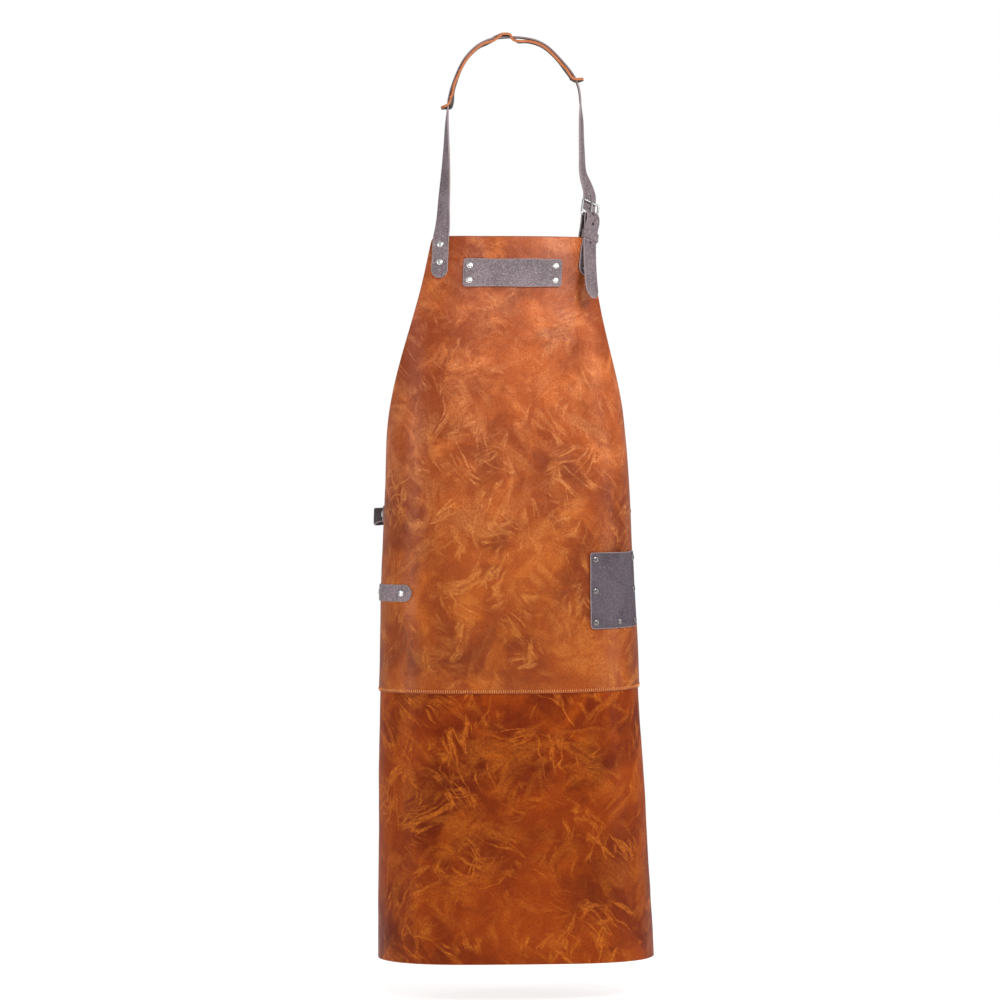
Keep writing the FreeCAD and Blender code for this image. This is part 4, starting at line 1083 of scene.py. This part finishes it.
def build_neck_strap(buckle):
    outward = STRAP_GAP + STRAP / 2 + 0.5
    stations = [on_body(STRAP_SIDE, height, outward) for height in (STRAP_END, -347.0, -328.0, -309.0)]
    stations += [arch_station(*place) for place in ARCH]
    stations += [buckle.station(along, out) for along, out in THROUGH_BUCKLE]
    route = Route(stations)
    strap = strap_piece("neck_strap_leather", route, STRAP, GREY_SET, LONG_STRAP_ENDS, 600.0)
    cutters = [tongue_slot(buckle, -16.5, -0.5, 2.4)]
    for height in STRAP_HOLES:
        point, normal = route.nearest(Vector((107.0, 60.0, height)), 0.4, 0.8)
        cutters.append(hole_punch(point, normal))
    for along, out in ((13.5, 9.8), (44.0, 8.4)):
        cutters.append(hole_punch(buckle.at(along, out), buckle.outward))
    cut_with(strap, joined("cutter", cutters, []))
    settle(strap, "apron", "trim_leather", "neck_strap")
    spots = [hang(STRAP_SIDE, height) for height in STRAP_RIVETS]
    strap_rivets("neck_strap", route, STRAP, spots, 0.0, 0.2)


# The pad's slots are wider and higher than the strap by PAD_ROOM.
PAD_WIDTH, PAD_THICKNESS, PAD_ENDS, PAD_ROOM = 40.0, 3.8, (6.0, 6.0), (2.4, 1.2)
PAD = (
    (-102.7, 78, -109.3), (-95.6, 78, -107), (-87.6, 80, -100.6), (-83.4, 84, -81.8),
    (-78.2, 88, -66), (-72, 92, -50.5), (-62.8, 95, -34.4), (-51.1, 98, -21.2), (-37.2, 100, -11.4),
    (-26.3, 102, -7.2), (-18, 104, 0), (-13, 105, 3.6), (-6, 105, 4.7), (0.5, 105, 4.2),
    (7.5, 105, -1.6), (13.5, 104, -5.6), (25.9, 103, -6), (38.2, 102, -7.8), (51, 100, -13.1),
    (64.8, 98, -24), (76.8, 95, -37.6), (85.4, 92, -49.1), (89.2, 90, -54), (94.8, 88, -62.4),
    (101.6, 88, -64.9), (112, 88, -63.6),
)


def build_neck_pad():
    """A slotted strip threaded on the strap: over it at the middle and at both tabs."""
    stations = [(Vector(place), away_from_neck(place[0], place[2])) for place in PAD]
    for i, face in ((0, (-0.3, 0, 1)), (1, (-0.5, 0, 0.9)), (-2, (0.3, 0, 1)), (-1, (0, 0, 1))):
        stations[i] = (stations[i][0], Vector(face).normalized())
    route = Route(stations, 2.5)
    pad = strap_piece("neck_pad_leather", route, PAD_THICKNESS, PAD_SET, PAD_ENDS, 800.0, PAD_WIDTH)
    arch = Route([arch_station(*place) for place in ARCH[3:]], 4.0)
    room = strap_piece("room", arch, STRAP + PAD_ROOM[1], [], width=STRAP_WIDTH + PAD_ROOM[0])
    cut_with(pad, room)
    settle(pad, "apron", "pad_leather", "neck_pad")


# ---------------- waist strap

# Where both waist straps are riveted, and how far their middle lies off the body there.
WAIST_RIVETS, WAIST_LEVEL = (283.0, 267.0), 1.9
WAIST_OUTER_LEG = ((115.0, 1.5, 0.0), (121.0, 1.5, 0.0), (128.0, 1.3, 0.5), (138.0, 0.3, 1.5),
                   (150.0, 0.0, 3.5), (161.0, 0.0, 5.0), (170.0, 0.5, 5.0), (177.0, -1.0, 3.0))


def build_waist_strap_short(waist):
    stations = []
    for degrees in (127.0, 121.0, 115.0):
        point, normal = ring_at(degrees, -1.5)
        stations.append((point, -normal))
    stations.append(waist.station(9.0, -3.0, True))
    stations += waist.fold(FOLD_RADIUS)
    stations.append(waist.station(9.0, 3.0))
    stations += [ring_at(*place) for place in WAIST_OUTER_LEG]
    stations.append(on_body(-297.0, WAIST, WAIST_LEVEL + 0.7))
    stations += [on_body(side, WAIST, WAIST_LEVEL) for side in (-288.0, -273.0, -258.0)]
    route = Route(stations)
    # The short waist strap takes the darker grey leather, painted shade.
    strap = strap_piece("waist_short_leather", route, FOLD_LEATHER, PAINTED_SHADE_SET, ROUND_ENDS, 900.0)
    cut_with(strap, joined("cutter", [tongue_slot(waist, -8.0, 9.0, 2.6)], []))
    settle(strap, "apron", "trim_leather", "waist_strap_short")
    spots = [hang(-side, WAIST, WAIST_LEVEL) for side in WAIST_RIVETS]
    strap_rivets("waist_left", route, FOLD_LEATHER, spots, 0.6, 1.0)
    strap_rivets("waist_fold", route, FOLD_LEATHER, [ring_at(122.5, 1.5)[0]], 0.15, 0.6)


WAIST_THROUGH = (
    (-60, -9.6), (-46, -6.6), (-36, -4.9), (-27, -3.9), (-18.5, -3.8), (-14, -2.9), (-9.5, 1.2), (-6, 5.2),
    (-1, 8.0), (5, 8.4), (11, 7.2), (18, 5.7), (26, 4.9), (37, 4.3), (46, 3.8),
)
WAIST_FREE_END = ((128.5, 4.6), (136.0, 3.4), (145.0, 3.0), (152.0, 3.2))


def build_waist_strap_long(waist):
    stations = [on_body(side, WAIST, WAIST_LEVEL) for side in (258.0, 270.0, 283.0, 295.0)]
    stations += [ring_at(degrees) for degrees in (6.0, 18.0, 30.0, 42.0, 54.0, 66.0, 78.0)]
    stations += [waist.station(along, out) for along, out in WAIST_THROUGH]
    stations += [ring_at(degrees, out, 1.0) for degrees, out in WAIST_FREE_END]
    route = Route(stations)
    # The long waist strap takes the darker grey leather, painted shade.
    strap = strap_piece("waist_long_leather", route, STRAP, PAINTED_SHADE_SET, LONG_STRAP_ENDS, 950.0)
    cutters = [tongue_slot(waist, -16.5, -0.5, 2.4)]
    for degrees in (130.0, 137.0, 144.0):
        cutters.append(hole_punch(*ring_at(degrees, 3.5)))
    cut_with(strap, joined("cutter", cutters, []))
    settle(strap, "apron", "trim_leather", "waist_strap_long")
    spots = [hang(side, WAIST, WAIST_LEVEL) for side in WAIST_RIVETS]
    strap_rivets("waist_right", route, STRAP, spots, 0.0, 0.3)


# ---------------- the whole apron

neck, waist = neck_buckle(), waist_buckle()
build_bib()
build_skirt()
build_stitches()
build_badge()
build_pocket()
build_tool_loop()
build_neck_buckle_strap(neck)
build_neck_strap(neck)
build_neck_pad()
build_waist_strap_short(waist)
build_waist_strap_long(waist)
for buckle in (neck, waist):
    build_buckle(buckle)
build_keeper(neck, 32.5, 3.9, 10.05)
build_keeper(waist, 30.5, -5.5, 7.3)

# The rivets' posts keep their CAD shape and take the caps' metal.
for name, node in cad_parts.items():
    if name.endswith("_rivet_posts"):
        node.data.materials.clear()
        node.data.materials.append(NICKEL)

# ---------------- stage, light and camera

scene = bpy.context.scene
scene.view_settings.view_transform = "Standard"

FLOOR_GLOW, FLOOR_RADIUS, FLOOR_LEVEL, ROOM_LIGHT = 0.62, 1600.0, -1440.0, 0.4

floor_material = Shader("floor_white", Specular_IOR_Level=0.1, Emission_Color=(1.0, 1.0, 1.0, 1.0),
                        Emission_Strength=FLOOR_GLOW)
floor_material.finish((0.9, 0.9, 0.9, 1.0), 0.9)
verts, faces = lathe([(0.0, 0.0), (600.0, 0.0), (FLOOR_RADIUS, 0.0)], 96)
floor = joined("floor", [(verts, faces[:-1], Matrix.Translation((0, 150.0, FLOOR_LEVEL)))],
               [floor_material.material])

world = bpy.data.worlds.new("studio")
world.use_nodes = True
nodes, links = world.node_tree.nodes, world.node_tree.links
room, backdrop = nodes["Background"], nodes.new("ShaderNodeBackground")
for glow, strength in ((room, ROOM_LIGHT), (backdrop, 1.0)):
    glow.inputs["Color"].default_value = (1.0, 1.0, 1.0, 1.0)
    glow.inputs["Strength"].default_value = strength
choice = nodes.new("ShaderNodeMixShader")
links.new(nodes.new("ShaderNodeLightPath").outputs["Is Camera Ray"], choice.inputs[0])
links.new(room.outputs[0], choice.inputs[1])
links.new(backdrop.outputs[0], choice.inputs[2])
links.new(choice.outputs[0], nodes["World Output"].inputs["Surface"])
scene.world = world


def softbox(name, place, target, width, height, power):
    light = bpy.data.lights.new(name, "AREA")
    light.shape = "RECTANGLE"
    light.size, light.size_y, light.energy = width, height, power
    lamp = bpy.data.objects.new(name, light)
    scene.collection.objects.link(lamp)
    lamp.location = place
    way = Vector(target) - Vector(place)
    lamp.rotation_euler = way.to_track_quat("-Z", "Y").to_euler()


softbox("key_softbox", (1.25, -2.3, 0.85), (0, 0, -0.6), 0.8, 0.8, 44.0)
softbox("chest_softbox", (-0.3, -2.6, 0.35), (0, 0, -0.4), 0.9, 0.5, 10.0)
softbox("left_strip", (-2.2, -0.7, -0.5), (0, 0.05, -0.7), 0.35, 2.2, 15.0)
softbox("right_strip", (2.2, -0.7, -0.5), (0, 0.05, -0.7), 0.35, 2.2, 13.0)

# The camera stands a little to the left of the front; the frame is VIEW_WIDTH metres wide at the apron.
VIEW_ANGLE, VIEW_DISTANCE, VIEW_HEIGHT = 5.0, 6.0, -0.694
VIEW_WIDTH, VIEW_SHIFT, SENSOR = 1.475, -0.014, 36.0
camera_data = bpy.data.cameras.new("camera")
camera_data.sensor_width = SENSOR
camera_data.lens = SENSOR * VIEW_DISTANCE / VIEW_WIDTH
camera_data.shift_x = VIEW_SHIFT
camera_data.clip_end = 100.0
camera = bpy.data.objects.new("camera", camera_data)
scene.collection.objects.link(camera)
camera.location = (-VIEW_DISTANCE * sind(VIEW_ANGLE), -VIEW_DISTANCE * cosd(VIEW_ANGLE), VIEW_HEIGHT)
camera.rotation_euler = (math.radians(90.0), 0.0, -math.radians(VIEW_ANGLE))
scene.camera = camera

bpy.context.view_layer.update()
